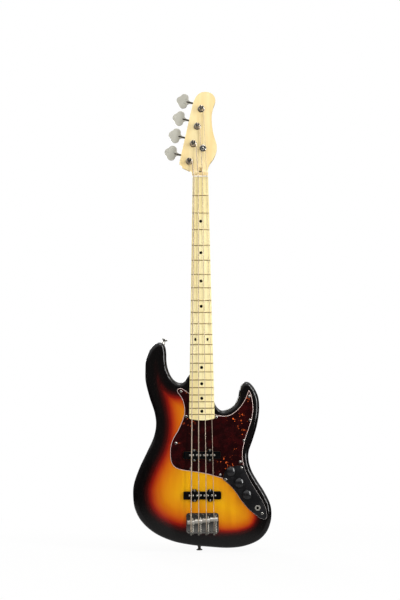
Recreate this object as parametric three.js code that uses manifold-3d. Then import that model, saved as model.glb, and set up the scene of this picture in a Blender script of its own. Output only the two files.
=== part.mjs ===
// Electric bass guitar: four strings, a bolt-on maple neck, two single-coil pickups, three knobs and a jack.
// Millimetres. +Z runs up the neck to the headstock, the front faces -Y and +X is the treble side.
// The origin lies on the neck's centre line, at the nut's edge by the frets, level with the body's face.
import * as THREE from 'three';
import { mergeVertices } from 'three/addons/utils/BufferGeometryUtils.js';
import Module from 'manifold-3d';

// Clearances
const SEAT_GAP = 0.3;
const RUNNING_GAP = 0.35;
const OVERRUN = 6;

// Facets round a piece, by its size
const SMALL_SIDES = 6;
const ROUND_SIDES = 10;
const WIDE_SIDES = 14;
const CURVE_STEPS = 2;
const ROUT_STEPS = 1;
const CAVITY_STEPS = 4;

// Strings, bass side first
const STRINGS = [
  { name: 'e', radius: 1.33, wraps: 1, setback: 9 },
  { name: 'a', radius: 1.08, wraps: 2, setback: 6.6 },
  { name: 'd', radius: 0.83, wraps: 2, setback: 4.4 },
  { name: 'g', radius: 0.57, wraps: 2, setback: 2.2 },
];
const SCALE_LENGTH = 864;
const NUT_STRING_SPACING = 10.9;
const BRIDGE_STRING_SPACING = 19;
const WRAP_GAP = 0.5;
const BALL_RADIUS = 2.8;
const BALL_LENGTH = 5;
const LOOP_STEPS = 24;
const STRING_SIDES = 6;

// Fingerboard and frets
const FRET_COUNT = 21;
const NUT_WIDTH = 40;
const BOARD_END_WIDTH = 64;
const BOARD_RADIUS = 241;
const BOARD_THICKNESS = 5.4;
const BOARD_RISE = 8.9;
const BOARD_PAST_LAST_FRET = 15;
const BOARD_END_BULGE = 3;
const BOARD_CORNER = 6;
const FRET_HEIGHT = 1.1;
const FRET_WIDTH = 2.4;
const FRET_SINK = 0.6;
const CROWN_STEPS = 3;

// Nut
const NUT_LENGTH = 3.3;
const NUT_ABOVE_BOARD = 2.4;
const NUT_STRING_HEIGHT = 1.6;

// Neck
const NECK_BACK_AT_NUT = 11.4;
const NECK_BACK_AT_OCTAVE = 14.4;
const POCKET_DEPTH = 16.5;
const HEEL_OVERHANG = 10;
const HEEL_LENGTH = 112;
const HEEL_BLEND = 34;
const HEEL_CORNER = 5;
const SHELF_LENGTH = 9;
const SHELF_HEIGHT = 3.3;
const NECK_BACK_STEPS = 8;
const SHAFT_ROUNDNESS = 2.3;
const HEEL_SQUARENESS = 16;

// Headstock
const HEAD_LENGTH = 229;
const HEAD_HALF_WIDTH = 54;
const HEAD_DROP = 11;
const HEAD_THICKNESS = 14;
const HEAD_RAMP = 16;
const HEAD_BACK_RAMP = 34;

// Truss rod
const ROD_RADIUS = 2.4;
const ROD_ANCHOR_RADIUS = 3.2;
const ROD_ANCHOR_LENGTH = 4;
const ROD_HEAD_END = 12;
const ROD_NUT_RADIUS = 4.2;
const ROD_NUT_START = 4;
const ROD_NUT_LENGTH = 13;
const ROD_ACCESS_END = 27;

// Tuners
const TUNER_SPACING = 47.6;
const TUNER_FIRST_X = -28.2;
const TUNER_FIRST_Z = 43.5;
const TUNER_LINE_ANGLE = THREE.MathUtils.degToRad(12.8);
const POST_RADIUS = 6;
const POST_WAIST_RADIUS = 4.8;
const POST_HEIGHT = 19;
const POST_TIP_LENGTH = 5;
const POST_SLOT_WIDTH = 3.4;
const POST_SLOT_DEPTH = 7.5;
const BUSHING_FLANGE_RADIUS = 9.3;
const BUSHING_FLANGE_THICKNESS = 1.5;
const BUSHING_RADIUS = 7.6;
const BUSHING_LENGTH = 8;
const GEAR_TEETH = 16;
const GEAR_MODULE = 1.5;
const GEAR_FACE = 4;
const GEAR_ROOT_SHARE = 1.3;
const GEAR_COLLAR_RADIUS = 7;
const WORM_PITCH_RADIUS = 5.4;
const WORM_TURNS = 2.5;
const WORM_STEPS = 8;
const TUNER_PLATE_THICKNESS = 2;
const TUNER_PLATE_REACH = 18;
const TUNER_PLATE_INSIDE = 14;
const TUNER_PLATE_BELOW = 14;
const TUNER_PLATE_ABOVE = 22.5;
const TUNER_PLATE_CORNER = 4;
const TUNER_EAR_OFFSET = 9;
const TUNER_EAR_THICKNESS = 2.2;
const TUNER_EAR_MARGIN = 2.2;
const KEY_SHAFT_RADIUS = 2.4;
const KEY_REACH = 53;
const KEY_LOBE_RADIUS = 11;
const KEY_LOBE_SPREAD = 9;
const KEY_THICKNESS = 3.4;
const KEY_NECK = 18;
const KEY_NECK_HALF_WIDTH = 3.4;
const KEY_COLLAR_RADIUS = 3.6;
const KEY_COLLAR_LENGTH = 1.2;

// String retainer
const RETAINER_X = 7;
const RETAINER_Z = 76.5;
const RETAINER_RADIUS = 9;
const RETAINER_THICKNESS = 2.6;
const RETAINER_STEM_RADIUS = 3;
const RETAINER_STRING_HEIGHT = 6.6;
const RETAINER_SCREW_RADIUS = 3;
const RETAINER_SCREW_HEIGHT = 1.2;

// Body
const BODY_LENGTH = 513;
const BODY_WIDTH = 346;
const BODY_DEPTH = 44;
const TAIL_SHARE = 0.1423;
const EDGE_RADIUS = 11;
const NECK_LIP_RADIUS = 3;
const ARM_CONTOUR_REACH = 62;
const ARM_CONTOUR_DEPTH = 13;
const BELLY_CONTOUR_REACH = 66;
const BELLY_CONTOUR_DEPTH = 16;
const BELLY_CONTOUR_RADIUS = 480;
const BELLY_CONTOUR_SIDES = 48;
const BODY_CURVE_STEPS = 1.2;

// Pickups
const PICKUP_LENGTH = 93;
const PICKUP_WIDTH = 18.6;
const PICKUP_RISE = 8.2;
const PICKUP_HEIGHT = 19;
const PICKUP_WALL = 1.6;
const PICKUP_CORNER = 3;
const PICKUP_EAR_OFFSET = 19.5;
const PICKUP_EAR_WIDTH = 13;
const PICKUP_EAR_REACH = 5.7;
const PICKUP_EAR_HEIGHT = 7;
const PICKUP_FROM_BRIDGE = { bridge: 56.2, neck: 155.4 };
const PICKUP_SCREW_RADIUS = 1.5;
const POLE_RADIUS = 2.4;
const POLE_SPACING = 8.4;
const POLE_RISE = 0.7;
const COIL_WALL_GAP = 0.8;
const FOAM_HEIGHT = 5;

// Guard and control plate
const GUARD_THICKNESS = 2.4;
const CONTROL_PLATE_THICKNESS = 2;
const CAVITY_DEPTH = 34;
const CAVITY_RADIUS = 14.5;
const WIRE_HOLE_RADIUS = 3.5;
const WIRE_HOLE_DEPTH = 12;

// Knobs, pots and jack
const KNOB_RADIUS = 12;
const KNOB_TOP_RADIUS = 10.8;
const KNOB_HEIGHT = 15;
const KNOB_HOLLOW_RADIUS = 8.6;
const KNOB_HOLLOW_DEPTH = 3.4;
const KNOB_CROWN = 0.8;
const SHAFT_RADIUS = 3;
const POT_RADIUS = 12;
const POT_CAN_DEPTH = 9;
const POT_BUSHING_RADIUS = 4.7;
const POT_NUT_RADIUS = 7;
const POT_NUT_THICKNESS = 2.2;
const POT_LUG_WIDTH = 1.6;
const POT_LUG_REACH = 1.3;
const POT_LUG_SPACING = 3.2;
const NUT_SIDES = 6;
const JACK_BORE_RADIUS = 3.4;
const JACK_BUSHING_RADIUS = 4.8;
const JACK_NUT_RADIUS = 7.3;
const JACK_NUT_THICKNESS = 2.2;
const JACK_BUSHING_LENGTH = 9;
const JACK_FRAME_WIDTH = 16;
const JACK_FRAME_THICKNESS = 1.2;
const JACK_ARM_LENGTH = 20;
const JACK_ARM_WIDTH = 5;

// Bridge
const BRIDGE_WIDTH = 80;
const BRIDGE_FRONT = 13.5;
const BRIDGE_LENGTH = 48.5;
const BRIDGE_THICKNESS = 2;
const BRIDGE_WALL = 1.6;
const BRIDGE_WALL_HEIGHT = 7;
const BRIDGE_WALL_LENGTH = 29;
const BRIDGE_LIP = 2.4;
const BRIDGE_LIP_HEIGHT = 12.8;
const BRIDGE_CORNER = 6;
const STRING_HOLE_HEIGHT = 4.2;
const SADDLE_RADIUS = 4.8;
const SADDLE_LENGTH = 18.4;
const SADDLE_HEIGHT = 8;
const SADDLE_MIDDLE_RISE = 1.5;
const SADDLE_GROOVE = 0.6;
const SADDLE_ARC_STEPS = 6;
const SADDLE_SCREW_RADIUS = 1.3;
const SADDLE_SCREW_OFFSET = 7.7;
const SADDLE_SCREW_TOP = 4.6;
const INTONATION_HEIGHT = 8.6;
const INTONATION_OFFSET = 4.5;
const INTONATION_RADIUS = 1.4;
const INTONATION_HEAD_RADIUS = 2.6;
const INTONATION_HEAD_LENGTH = 2.4;
const INTONATION_PAST_SADDLE = 5.5;
const SPRING_WIRE_RADIUS = 0.42;
const SPRING_CURLS = 4;
const SPRING_STEPS = 8;
const SPRING_SIDES = 5;

// Neck plate, bolts and strap buttons
const NECK_PLATE_WIDTH = 51;
const NECK_PLATE_HEIGHT = 64;
const NECK_PLATE_THICKNESS = 2;
const NECK_PLATE_CORNER = 5;
const BOLT_SPACING_X = 38;
const BOLT_SPACING_Z = 51;
const BOLT_RADIUS = 2.4;
const BOLT_HEAD_RADIUS = 4.6;
const BOLT_HEAD_HEIGHT = 2.4;
const BOLT_INTO_NECK = 13;
const BUTTON_BASE_RADIUS = 5.4;
const BUTTON_WAIST_RADIUS = 3.6;
const BUTTON_FLANGE_RADIUS = 7.6;
const BUTTON_HEIGHT = 12;
const BUTTON_FLANGE_THICKNESS = 2.6;
const BUTTON_RECESS_RADIUS = 3.4;
const BUTTON_RECESS_DEPTH = 1.6;
const BUTTON_SCREW_RADIUS = 1.7;
const BUTTON_SCREW_LENGTH = 18;
const BUTTON_SEAT_DEPTH = 1.2;
const HORN_BUTTON_TILT = THREE.MathUtils.degToRad(25);

// Body outline from the upper horn's tip down the bass side, round the tail and up the treble side: shares
// of half the body's width, and of its length down from the upper horn.
const BODY_OUTLINE_SHARES = [
  [-0.607, 0.001], [-0.655, 0.004], [-0.694, 0.013], [-0.74, 0.03], [-0.775, 0.053], [-0.813, 0.092],
  [-0.821, 0.139], [-0.817, 0.191], [-0.761, 0.269], [-0.685, 0.348], [-0.665, 0.404], [-0.698, 0.465],
  [-0.802, 0.542], [-0.913, 0.62], [-0.991, 0.697], [-1.0, 0.754], [-0.974, 0.812], [-0.885, 0.87],
  [-0.699, 0.926], [-0.45, 0.964], [-0.199, 0.983], [0.116, 0.995], [0.394, 1.0], [0.611, 0.991],
  [0.81, 0.964], [0.923, 0.926], [0.981, 0.881], [0.998, 0.836], [0.981, 0.793], [0.899, 0.734],
  [0.793, 0.677], [0.716, 0.63], [0.678, 0.585], [0.678, 0.54], [0.736, 0.484], [0.807, 0.406],
  [0.84, 0.328], [0.824, 0.269], [0.772, 0.23], [0.727, 0.21], [0.69, 0.2], [0.653, 0.197],
  [0.615, 0.201], [0.585, 0.213], [0.556, 0.24], [0.541, 0.267], [0.489, 0.304], [0.396, 0.328],
  [0.297, 0.338], [0.24, 0.328], [0.192, 0.305], [0.171, 0.267], [0.166, 0.23], [0.128, 0.198],
  [0.047, 0.177], [-0.07, 0.163], [-0.157, 0.157], [-0.199, 0.171], [-0.245, 0.193], [-0.315, 0.201],
  [-0.384, 0.192], [-0.441, 0.171], [-0.491, 0.132], [-0.512, 0.092], [-0.515, 0.053], [-0.528, 0.024],
  [-0.556, 0.008],
];

// Guard edges, in the same shares
const GUARD_BASS_SHARES = [
  [0.294, 0.667], [0.174, 0.655], [0.041, 0.643], [-0.174, 0.631], [-0.29, 0.625], [-0.382, 0.614],
  [-0.44, 0.59], [-0.459, 0.553], [-0.449, 0.506], [-0.405, 0.467], [-0.346, 0.434], [-0.284, 0.387],
  [-0.252, 0.351], [-0.253, 0.32], [-0.278, 0.287], [-0.319, 0.262], [-0.352, 0.247], [-0.35, 0.234],
  [-0.307, 0.229], [-0.261, 0.235], [-0.15, 0.262],
];
const GUARD_CUTAWAY_SHARES = [
  [0.15, 0.352], [0.209, 0.363], [0.294, 0.37], [0.411, 0.351], [0.504, 0.319], [0.573, 0.291],
  [0.626, 0.264], [0.684, 0.241],
];
const GUARD_TREBLE_SHARES = [
  [0.684, 0.241], [0.734, 0.263], [0.755, 0.312], [0.733, 0.359], [0.686, 0.409], [0.631, 0.465],
  [0.594, 0.52], [0.588, 0.563], [0.6, 0.603],
];
const GUARD_CONTROL_SHARES = [
  [0.6, 0.603], [0.52, 0.604], [0.433, 0.609], [0.375, 0.619], [0.324, 0.636], [0.294, 0.667],
];

// Control plate: its arc follows the guard, then come the edge beside the body's rim, the tip and the
// straighter edge towards the strings.
const CONTROL_PLATE_RIM_SHARES = [
  [0.602, 0.607], [0.628, 0.632], [0.692, 0.678], [0.78, 0.729], [0.851, 0.766], [0.904, 0.805],
  [0.926, 0.84], [0.908, 0.862], [0.846, 0.86], [0.762, 0.842], [0.66, 0.813], [0.565, 0.775],
  [0.492, 0.738], [0.411, 0.705], [0.296, 0.671],
];
const KNOB_SHARES = { neck_volume: [0.411, 0.633], bridge_volume: [0.532, 0.688], tone: [0.641, 0.745] };
const JACK_SHARE = [0.793, 0.809];
const CONTROL_ARC_CENTER_SHARE = [0.5, 0.64];
const ARM_CONTOUR_SHARE = [-0.62, 0.69];
const ARM_CONTOUR_HEADING = THREE.MathUtils.degToRad(-15);
const BELLY_CONTOUR_SHARE = [-0.36, 0.42];
const HORN_BUTTON_SHARE = [-0.563, 0.005];
const END_BUTTON_SHARE = [-0.044, 0.9885];

// Headstock outline from the nut's bass end round the tip to its treble end: shares of the headstock's
// greatest half width, and of its length up from the nut.
const HEAD_BASS_SHARES = [
  [-0.363, -0.02], [-0.367, 0.0], [-0.395, 0.035], [-0.472, 0.066], [-0.63, 0.09], [-0.815, 0.114],
  [-0.944, 0.14], [-1.0, 0.175],
];
const HEAD_TIP_SHARES = [
  [-0.352, 0.852], [-0.278, 0.9], [-0.176, 0.945], [-0.019, 0.983], [0.148, 0.998], [0.37, 1.0],
  [0.574, 0.98], [0.704, 0.943], [0.75, 0.9], [0.713, 0.86], [0.639, 0.812], [0.583, 0.751],
  [0.565, 0.677], [0.593, 0.581], [0.667, 0.489], [0.759, 0.415], [0.8, 0.367], [0.793, 0.319],
  [0.713, 0.258], [0.602, 0.21], [0.472, 0.168], [0.394, 0.127], [0.37, 0.079], [0.369, 0.0],
  [0.366, -0.02],
];

const wasm = await Module();
wasm.setup();

// Materials
function finish(color, roughness, metalness) {
  return new THREE.MeshStandardMaterial({ color, roughness, metalness });
}

const FINISHES = {
  sunburst: finish(0xb5520c, 0.18, 0),
  maple: finish(0xf3dfa2, 0.35, 0),
  tortoise: finish(0x3a0a0c, 0.2, 0),
  blackPlate: finish(0x1c1d1d, 0.25, 0),
  blackPlastic: finish(0x0c0c0c, 0.35, 0),
  chrome: finish(0xd8d8d4, 0.12, 1),
  nickelWire: finish(0xb9b4ac, 0.3, 1),
  bone: finish(0xf4f0e6, 0.4, 0),
  steel: finish(0x8d8d8d, 0.35, 1),
  coil: finish(0x4a4a4c, 0.5, 0.4),
};

// Solids
function solid(geometry) {
  const bare = geometry.clone();
  bare.deleteAttribute('normal');
  bare.deleteAttribute('uv');
  const merged = mergeVertices(bare);
  const corners = merged.index.array;
  const triVerts = [];
  for (let i = 0; i < corners.length; i += 3) {
    const [a, b, c] = corners.slice(i, i + 3);
    if (a !== b && b !== c && c !== a) {
      triVerts.push(a, b, c);
    }
  }
  const vertProperties = new Float32Array(merged.attributes.position.array);
  const closed = new wasm.Mesh({ numProp: 3, vertProperties, triVerts: new Uint32Array(triVerts) });
  return new wasm.Manifold(closed);
}

function cut(base, ...cutters) {
  return cutters.reduce((left, cutter) => left.subtract(cutter), base);
}

function join(...pieces) {
  return pieces.reduce((whole, piece) => whole.add(piece));
}

function mesh(name, shape, material, group) {
  const { vertProperties, triVerts } = shape.getMesh();
  const geometry = new THREE.BufferGeometry();
  geometry.setAttribute('position', new THREE.BufferAttribute(vertProperties, 3));
  geometry.setIndex(new THREE.BufferAttribute(triVerts, 1));
  geometry.computeVertexNormals();
  const piece = new THREE.Mesh(geometry, material);
  piece.name = name;
  group.add(piece);
  return piece;
}

// A plate with its outline in X and Z, from the front to the back Y
function slab(shape, frontY, backY, curveSegments = CURVE_STEPS) {
  const depth = backY - frontY;
  const geometry = new THREE.ExtrudeGeometry(shape, { depth, bevelEnabled: false, curveSegments });
  geometry.rotateX(Math.PI / 2);
  geometry.translate(0, backY, 0);
  return solid(geometry);
}

// A bar with its outline in Y and Z, between two X
function bar(shape, leftX, rightX) {
  const geometry = new THREE.ExtrudeGeometry(shape, { depth: rightX - leftX, bevelEnabled: false });
  const yAxis = new THREE.Vector3(0, 1, 0);
  const zAxis = new THREE.Vector3(0, 0, 1);
  const xAxis = new THREE.Vector3(1, 0, 0);
  geometry.applyMatrix4(new THREE.Matrix4().makeBasis(yAxis, zAxis, xAxis));
  geometry.translate(leftX, 0, 0);
  return solid(geometry);
}

// A turned piece round a line along Y: [radius, y] pairs from the front to the back
function turned(profile, x, z, sides = ROUND_SIDES) {
  const points = profile.map(([radius, y]) => new THREE.Vector2(radius, y));
  const geometry = new THREE.LatheGeometry(points, sides);
  geometry.translate(x, 0, z);
  return solid(geometry);
}

function pin(radius, frontY, backY, x, z, sides = ROUND_SIDES) {
  return turned([[0, frontY], [radius, frontY], [radius, backY], [0, backY]], x, z, sides);
}

// A turned piece round a line along Z: [radius, z] pairs upwards
function turnedUp(profile, x, y, sides = ROUND_SIDES) {
  const points = profile.map(([radius, z]) => new THREE.Vector2(radius, z));
  const geometry = new THREE.LatheGeometry(points, sides);
  geometry.rotateX(Math.PI / 2);
  geometry.translate(x, y, 0);
  return solid(geometry);
}

// A turned piece round a line along X: [radius, x] pairs
function turnedAcross(profile, y, z, sides = ROUND_SIDES) {
  const points = profile.map(([radius, x]) => new THREE.Vector2(radius, -x)).reverse();
  const geometry = new THREE.LatheGeometry(points, sides);
  geometry.rotateZ(Math.PI / 2);
  geometry.translate(0, y, z);
  return solid(geometry);
}

function block(minX, maxX, minY, maxY, minZ, maxZ) {
  const geometry = new THREE.BoxGeometry(maxX - minX, maxY - minY, maxZ - minZ);
  geometry.translate((minX + maxX) / 2, (minY + maxY) / 2, (minZ + maxZ) / 2);
  return solid(geometry);
}

function roundedRectangle(x, z, width, height, corner) {
  const shape = new THREE.Shape();
  const right = x + width / 2 - corner;
  const left = x - width / 2 + corner;
  const top = z + height / 2 - corner;
  const bottom = z - height / 2 + corner;
  shape.absarc(right, bottom, corner, -Math.PI / 2, 0);
  shape.absarc(right, top, corner, 0, Math.PI / 2);
  shape.absarc(left, top, corner, Math.PI / 2, Math.PI);
  shape.absarc(left, bottom, corner, Math.PI, (3 * Math.PI) / 2);
  shape.closePath();
  return shape;
}

// The outline of a round cutter that runs from one point to another
function stadium(from, to, radius) {
  const angle = Math.atan2(to.y - from.y, to.x - from.x);
  const shape = new THREE.Shape();
  shape.absarc(to.x, to.y, radius, angle - Math.PI / 2, angle + Math.PI / 2);
  shape.absarc(from.x, from.y, radius, angle + Math.PI / 2, angle + (3 * Math.PI) / 2);
  shape.closePath();
  return shape;
}

// Rings of points, skinned into one closed body; the caps are triangles of ring indices
function skin(rings, caps) {
  const sides = rings[0].length;
  const positions = rings.flat().flatMap((point) => [point.x, point.y, point.z]);
  const index = [];
  for (let ring = 0; ring + 1 < rings.length; ring += 1) {
    for (let i = 0; i < sides; i += 1) {
      const a = ring * sides + i;
      const b = ring * sides + ((i + 1) % sides);
      index.push(a, b, b + sides, a, b + sides, a + sides);
    }
  }
  const last = (rings.length - 1) * sides;
  for (const [a, b, c] of caps) {
    index.push(c, b, a, last + a, last + b, last + c);
  }
  const geometry = new THREE.BufferGeometry();
  geometry.setAttribute('position', new THREE.Float32BufferAttribute(positions, 3));
  geometry.setIndex(index);
  return solid(geometry);
}

// Rings in parallel planes, capped like the ring given for it; flatten turns a point into the plane's own
// right-handed pair
function loft(rings, flatten, capRing = rings[0]) {
  const flat = capRing.map(flatten);
  if (THREE.ShapeUtils.area(flat) < 0) {
    const reversed = rings.map((ring) => [...ring].reverse());
    return skin(reversed, THREE.ShapeUtils.triangulateShape([...flat].reverse(), []));
  }
  return skin(rings, THREE.ShapeUtils.triangulateShape(flat, []));
}

// A tube along points, with a radius at each
function tube(points, radii, sides) {
  const tangents = points.map((point, i) => {
    const before = points[Math.max(i - 1, 0)];
    const after = points[Math.min(i + 1, points.length - 1)];
    return new THREE.Vector3().subVectors(after, before).normalize();
  });
  const normal = new THREE.Vector3(1, 0, 0);
  const rings = points.map((point, i) => {
    normal.addScaledVector(tangents[i], -normal.dot(tangents[i])).normalize();
    const binormal = new THREE.Vector3().crossVectors(tangents[i], normal);
    return Array.from({ length: sides }, (unused, side) => {
      const angle = (2 * Math.PI * side) / sides;
      const out = normal.clone().multiplyScalar(radii[i] * Math.cos(angle));
      return out.addScaledVector(binormal, radii[i] * Math.sin(angle)).add(point);
    });
  });
  const caps = Array.from({ length: sides - 2 }, (unused, i) => [0, i + 1, i + 2]);
  return skin(rings, caps);
}

// The least gap between turns of a wound wire, measured between its points
function leastTurnGap(points, radius, stepsPerTurn) {
  let least = Infinity;
  for (let i = 0; i < points.length; i += 1) {
    for (let j = i + Math.floor(stepsPerTurn / 2); j < points.length; j += 1) {
      least = Math.min(least, points[i].distanceTo(points[j]) - 2 * radius);
    }
  }
  return least;
}

// Where a line from outside touches a circle; side is 1 or -1
function tangentPoint(center, radius, from, side) {
  const toward = new THREE.Vector2().subVectors(from, center);
  const distance = toward.length();
  const angle = toward.angle() + side * Math.acos(radius / distance);
  return new THREE.Vector2(Math.cos(angle), Math.sin(angle)).multiplyScalar(radius).add(center);
}

// Places along the neck
function fretZ(fret) {
  return -SCALE_LENGTH * (1 - 2 ** (-fret / 12));
}

const BRIDGE_LINE = -SCALE_LENGTH;
const BODY_BOTTOM = BRIDGE_LINE - TAIL_SHARE * BODY_LENGTH;
const BODY_TOP = BODY_BOTTOM + BODY_LENGTH;
const BOARD_END = fretZ(FRET_COUNT) - BOARD_PAST_LAST_FRET;
const HEEL_END = BOARD_END + HEEL_OVERHANG;
const BOARD_BACK = BOARD_THICKNESS - BOARD_RISE;
const NECK_FRONT = BOARD_BACK + SEAT_GAP;
const HEEL_BACK = POCKET_DEPTH - SEAT_GAP;
const HEAD_FACE = HEAD_DROP - BOARD_RISE;
const HEAD_BACK = HEAD_FACE + HEAD_THICKNESS;
const GUARD_BACK = -SEAT_GAP;
const GUARD_FRONT = GUARD_BACK - GUARD_THICKNESS;
const CONTROL_PLATE_FRONT = GUARD_BACK - CONTROL_PLATE_THICKNESS;
const ROD_AXIS_Y = HEAD_FACE;

function onBody([xShare, zShare]) {
  return new THREE.Vector2((xShare * BODY_WIDTH) / 2, BODY_TOP - zShare * BODY_LENGTH);
}

function boardHalfWidth(z) {
  return (NUT_WIDTH + ((BOARD_END_WIDTH - NUT_WIDTH) * z) / BOARD_END) / 2;
}

function boardDrop(x) {
  return BOARD_RADIUS - Math.sqrt(BOARD_RADIUS ** 2 - x ** 2);
}

// Strings, worked out once for the pieces that they cross
function stringPlan(order) {
  const string = STRINGS[order];
  const fromMiddle = order - (STRINGS.length - 1) / 2;
  const nutX = fromMiddle * NUT_STRING_SPACING;
  const bridgeX = fromMiddle * BRIDGE_STRING_SPACING;
  const outer = order === 0 || order === STRINGS.length - 1;
  const saddleY = -SADDLE_HEIGHT - (outer ? 0 : SADDLE_MIDDLE_RISE);
  const saddleZ = BRIDGE_LINE - string.setback;
  const slotY = boardDrop(nutX) - BOARD_RISE - NUT_STRING_HEIGHT;
  const nutY = slotY - SEAT_GAP - string.radius;
  const postX = TUNER_FIRST_X + order * TUNER_SPACING * Math.sin(TUNER_LINE_ANGLE);
  const postZ = TUNER_FIRST_Z + order * TUNER_SPACING * Math.cos(TUNER_LINE_ANGLE);
  return { ...string, order, nutX, nutY, slotY, bridgeX, saddleY, saddleZ, postX, postZ };
}

const PLANS = STRINGS.map((string, order) => stringPlan(order));

// Body
function bodyOutline() {
  const corners = BODY_OUTLINE_SHARES.map(onBody).map(({ x, y }) => new THREE.Vector3(x, 0, y));
  const curve = new THREE.CatmullRomCurve3(corners, true, 'centripetal');
  return curve.getPoints(Math.round(corners.length * BODY_CURVE_STEPS)).slice(0, -1);
}

function edgeRadiusAt(point) {
  if (point.z < HEEL_END) {
    return EDGE_RADIUS;
  }
  const beside = Math.abs(point.x) - boardHalfWidth(point.z);
  const share = THREE.MathUtils.smoothstep(beside, 0, 2 * EDGE_RADIUS);
  return THREE.MathUtils.lerp(NECK_LIP_RADIUS, EDGE_RADIUS, share);
}

// The radius of the outline's own bend at a point; a bend round the outside has none
function bendRadius(before, point, after) {
  const first = new THREE.Vector3().subVectors(point, before);
  const second = new THREE.Vector3().subVectors(after, point);
  const area = (first.x * second.z - first.z * second.x) / 2;
  const sides = first.length() * second.length() * before.distanceTo(after);
  return area > 0 ? sides / (4 * area) : Infinity;
}

function bodyBlank() {
  const outline = bodyOutline();
  const around = outline.map((point, i) => {
    const before = outline[(i + outline.length - 1) % outline.length];
    const after = outline[(i + 1) % outline.length];
    const along = new THREE.Vector3().subVectors(after, before).normalize();
    const radius = Math.min(edgeRadiusAt(point), bendRadius(before, point, after));
    return { inward: new THREE.Vector3(-along.z, 0, along.x), radius };
  });
  const levels = [0, Math.PI / 4, Math.PI / 2];
  const front = levels.map((angle) => outline.map((point, i) => {
    const { inward, radius } = around[i];
    const moved = point.clone().addScaledVector(inward, radius * (1 - Math.sin(angle)));
    moved.y = radius * (1 - Math.cos(angle));
    return moved;
  }));
  const back = [...front].reverse().map((ring) => ring.map((point) => {
    return new THREE.Vector3(point.x, BODY_DEPTH - point.y, point.z);
  }));
  return loft([...front, ...back], (point) => new THREE.Vector2(point.z, point.x), outline);
}

function neckShape(gap, topZ) {
  const bottomZ = HEEL_END - gap;
  const shape = new THREE.Shape();
  const bottomHalf = boardHalfWidth(bottomZ) + gap;
  const topHalf = boardHalfWidth(topZ) + gap;
  const corner = HEEL_CORNER;
  shape.moveTo(-topHalf, topZ);
  shape.lineTo(-bottomHalf, bottomZ + corner);
  shape.absarc(corner - bottomHalf, bottomZ + corner, corner, Math.PI, (3 * Math.PI) / 2);
  shape.absarc(bottomHalf - corner, bottomZ + corner, corner, (3 * Math.PI) / 2, 2 * Math.PI);
  shape.lineTo(topHalf, topZ);
  shape.closePath();
  return shape;
}

function pickupShapes(centerZ, gap) {
  const main = roundedRectangle(0, centerZ, PICKUP_LENGTH + 2 * gap, PICKUP_WIDTH + 2 * gap, PICKUP_CORNER);
  const earHeight = PICKUP_WIDTH + 2 * PICKUP_EAR_REACH + 2 * gap;
  const earWidth = PICKUP_EAR_WIDTH + 2 * gap;
  const ears = [-PICKUP_EAR_OFFSET, PICKUP_EAR_OFFSET].map((x) => {
    return roundedRectangle(x, centerZ, earWidth, earHeight, PICKUP_EAR_REACH);
  });
  return { main, ears };
}

function pickupBlock(centerZ, gap, frontY, backY) {
  const { main, ears } = pickupShapes(centerZ, gap);
  return join(...[main, ...ears].map((outline) => slab(outline, frontY, backY, ROUT_STEPS)));
}

// The player's arm rests on a flat that falls from a slanted line towards the body's bass edge
function armContour() {
  const start = onBody(ARM_CONTOUR_SHARE);
  const size = BODY_LENGTH;
  const geometry = new THREE.BoxGeometry(size, size, size);
  geometry.translate(-size / 2, -size / 2, 0);
  geometry.rotateZ(-Math.atan(ARM_CONTOUR_DEPTH / ARM_CONTOUR_REACH));
  geometry.rotateY(ARM_CONTOUR_HEADING);
  geometry.translate(start.x, 0, start.y);
  return solid(geometry);
}

// The back is hollowed at the bass waist by a wide drum that deepens towards the edge
function bellyContour() {
  const start = onBody(BELLY_CONTOUR_SHARE);
  const length = BODY_WIDTH;
  const radius = BELLY_CONTOUR_RADIUS;
  const geometry = new THREE.CylinderGeometry(radius, radius, length, BELLY_CONTOUR_SIDES);
  geometry.rotateY(Math.PI / BELLY_CONTOUR_SIDES);
  geometry.rotateZ(Math.PI / 2);
  geometry.translate(-length / 2, radius, 0);
  geometry.rotateZ(Math.atan(BELLY_CONTOUR_DEPTH / BELLY_CONTOUR_REACH));
  geometry.translate(start.x, BODY_DEPTH, start.y);
  return solid(geometry);
}

function buttonSeat(share, tilt) {
  const center = onBody(share);
  const seat = turnedUp([
    [0, -BUTTON_SCREW_LENGTH - SEAT_GAP - BUTTON_SEAT_DEPTH],
    [BUTTON_SCREW_RADIUS + SEAT_GAP, -BUTTON_SCREW_LENGTH - SEAT_GAP - BUTTON_SEAT_DEPTH],
    [BUTTON_SCREW_RADIUS + SEAT_GAP, -BUTTON_SEAT_DEPTH],
    [BUTTON_BASE_RADIUS + SEAT_GAP, -BUTTON_SEAT_DEPTH],
    [BUTTON_BASE_RADIUS + SEAT_GAP, BUTTON_HEIGHT],
    [0, BUTTON_HEIGHT],
  ], 0, 0);
  return placeTurned(seat, tilt, center);
}

function placeTurned(shape, tilt, center) {
  const tiltDegrees = THREE.MathUtils.radToDeg(tilt);
  return shape.rotate([0, tiltDegrees, 0]).translate([center.x, BODY_DEPTH / 2, center.y]);
}

function boltPlaces() {
  const centerZ = HEEL_END + NECK_PLATE_HEIGHT / 2 + HEEL_CORNER;
  const places = [];
  for (const sideZ of [1, -1]) {
    for (const sideX of [-1, 1]) {
      places.push({ x: (sideX * BOLT_SPACING_X) / 2, z: centerZ + (sideZ * BOLT_SPACING_Z) / 2 });
    }
  }
  return { centerZ, places };
}

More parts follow.
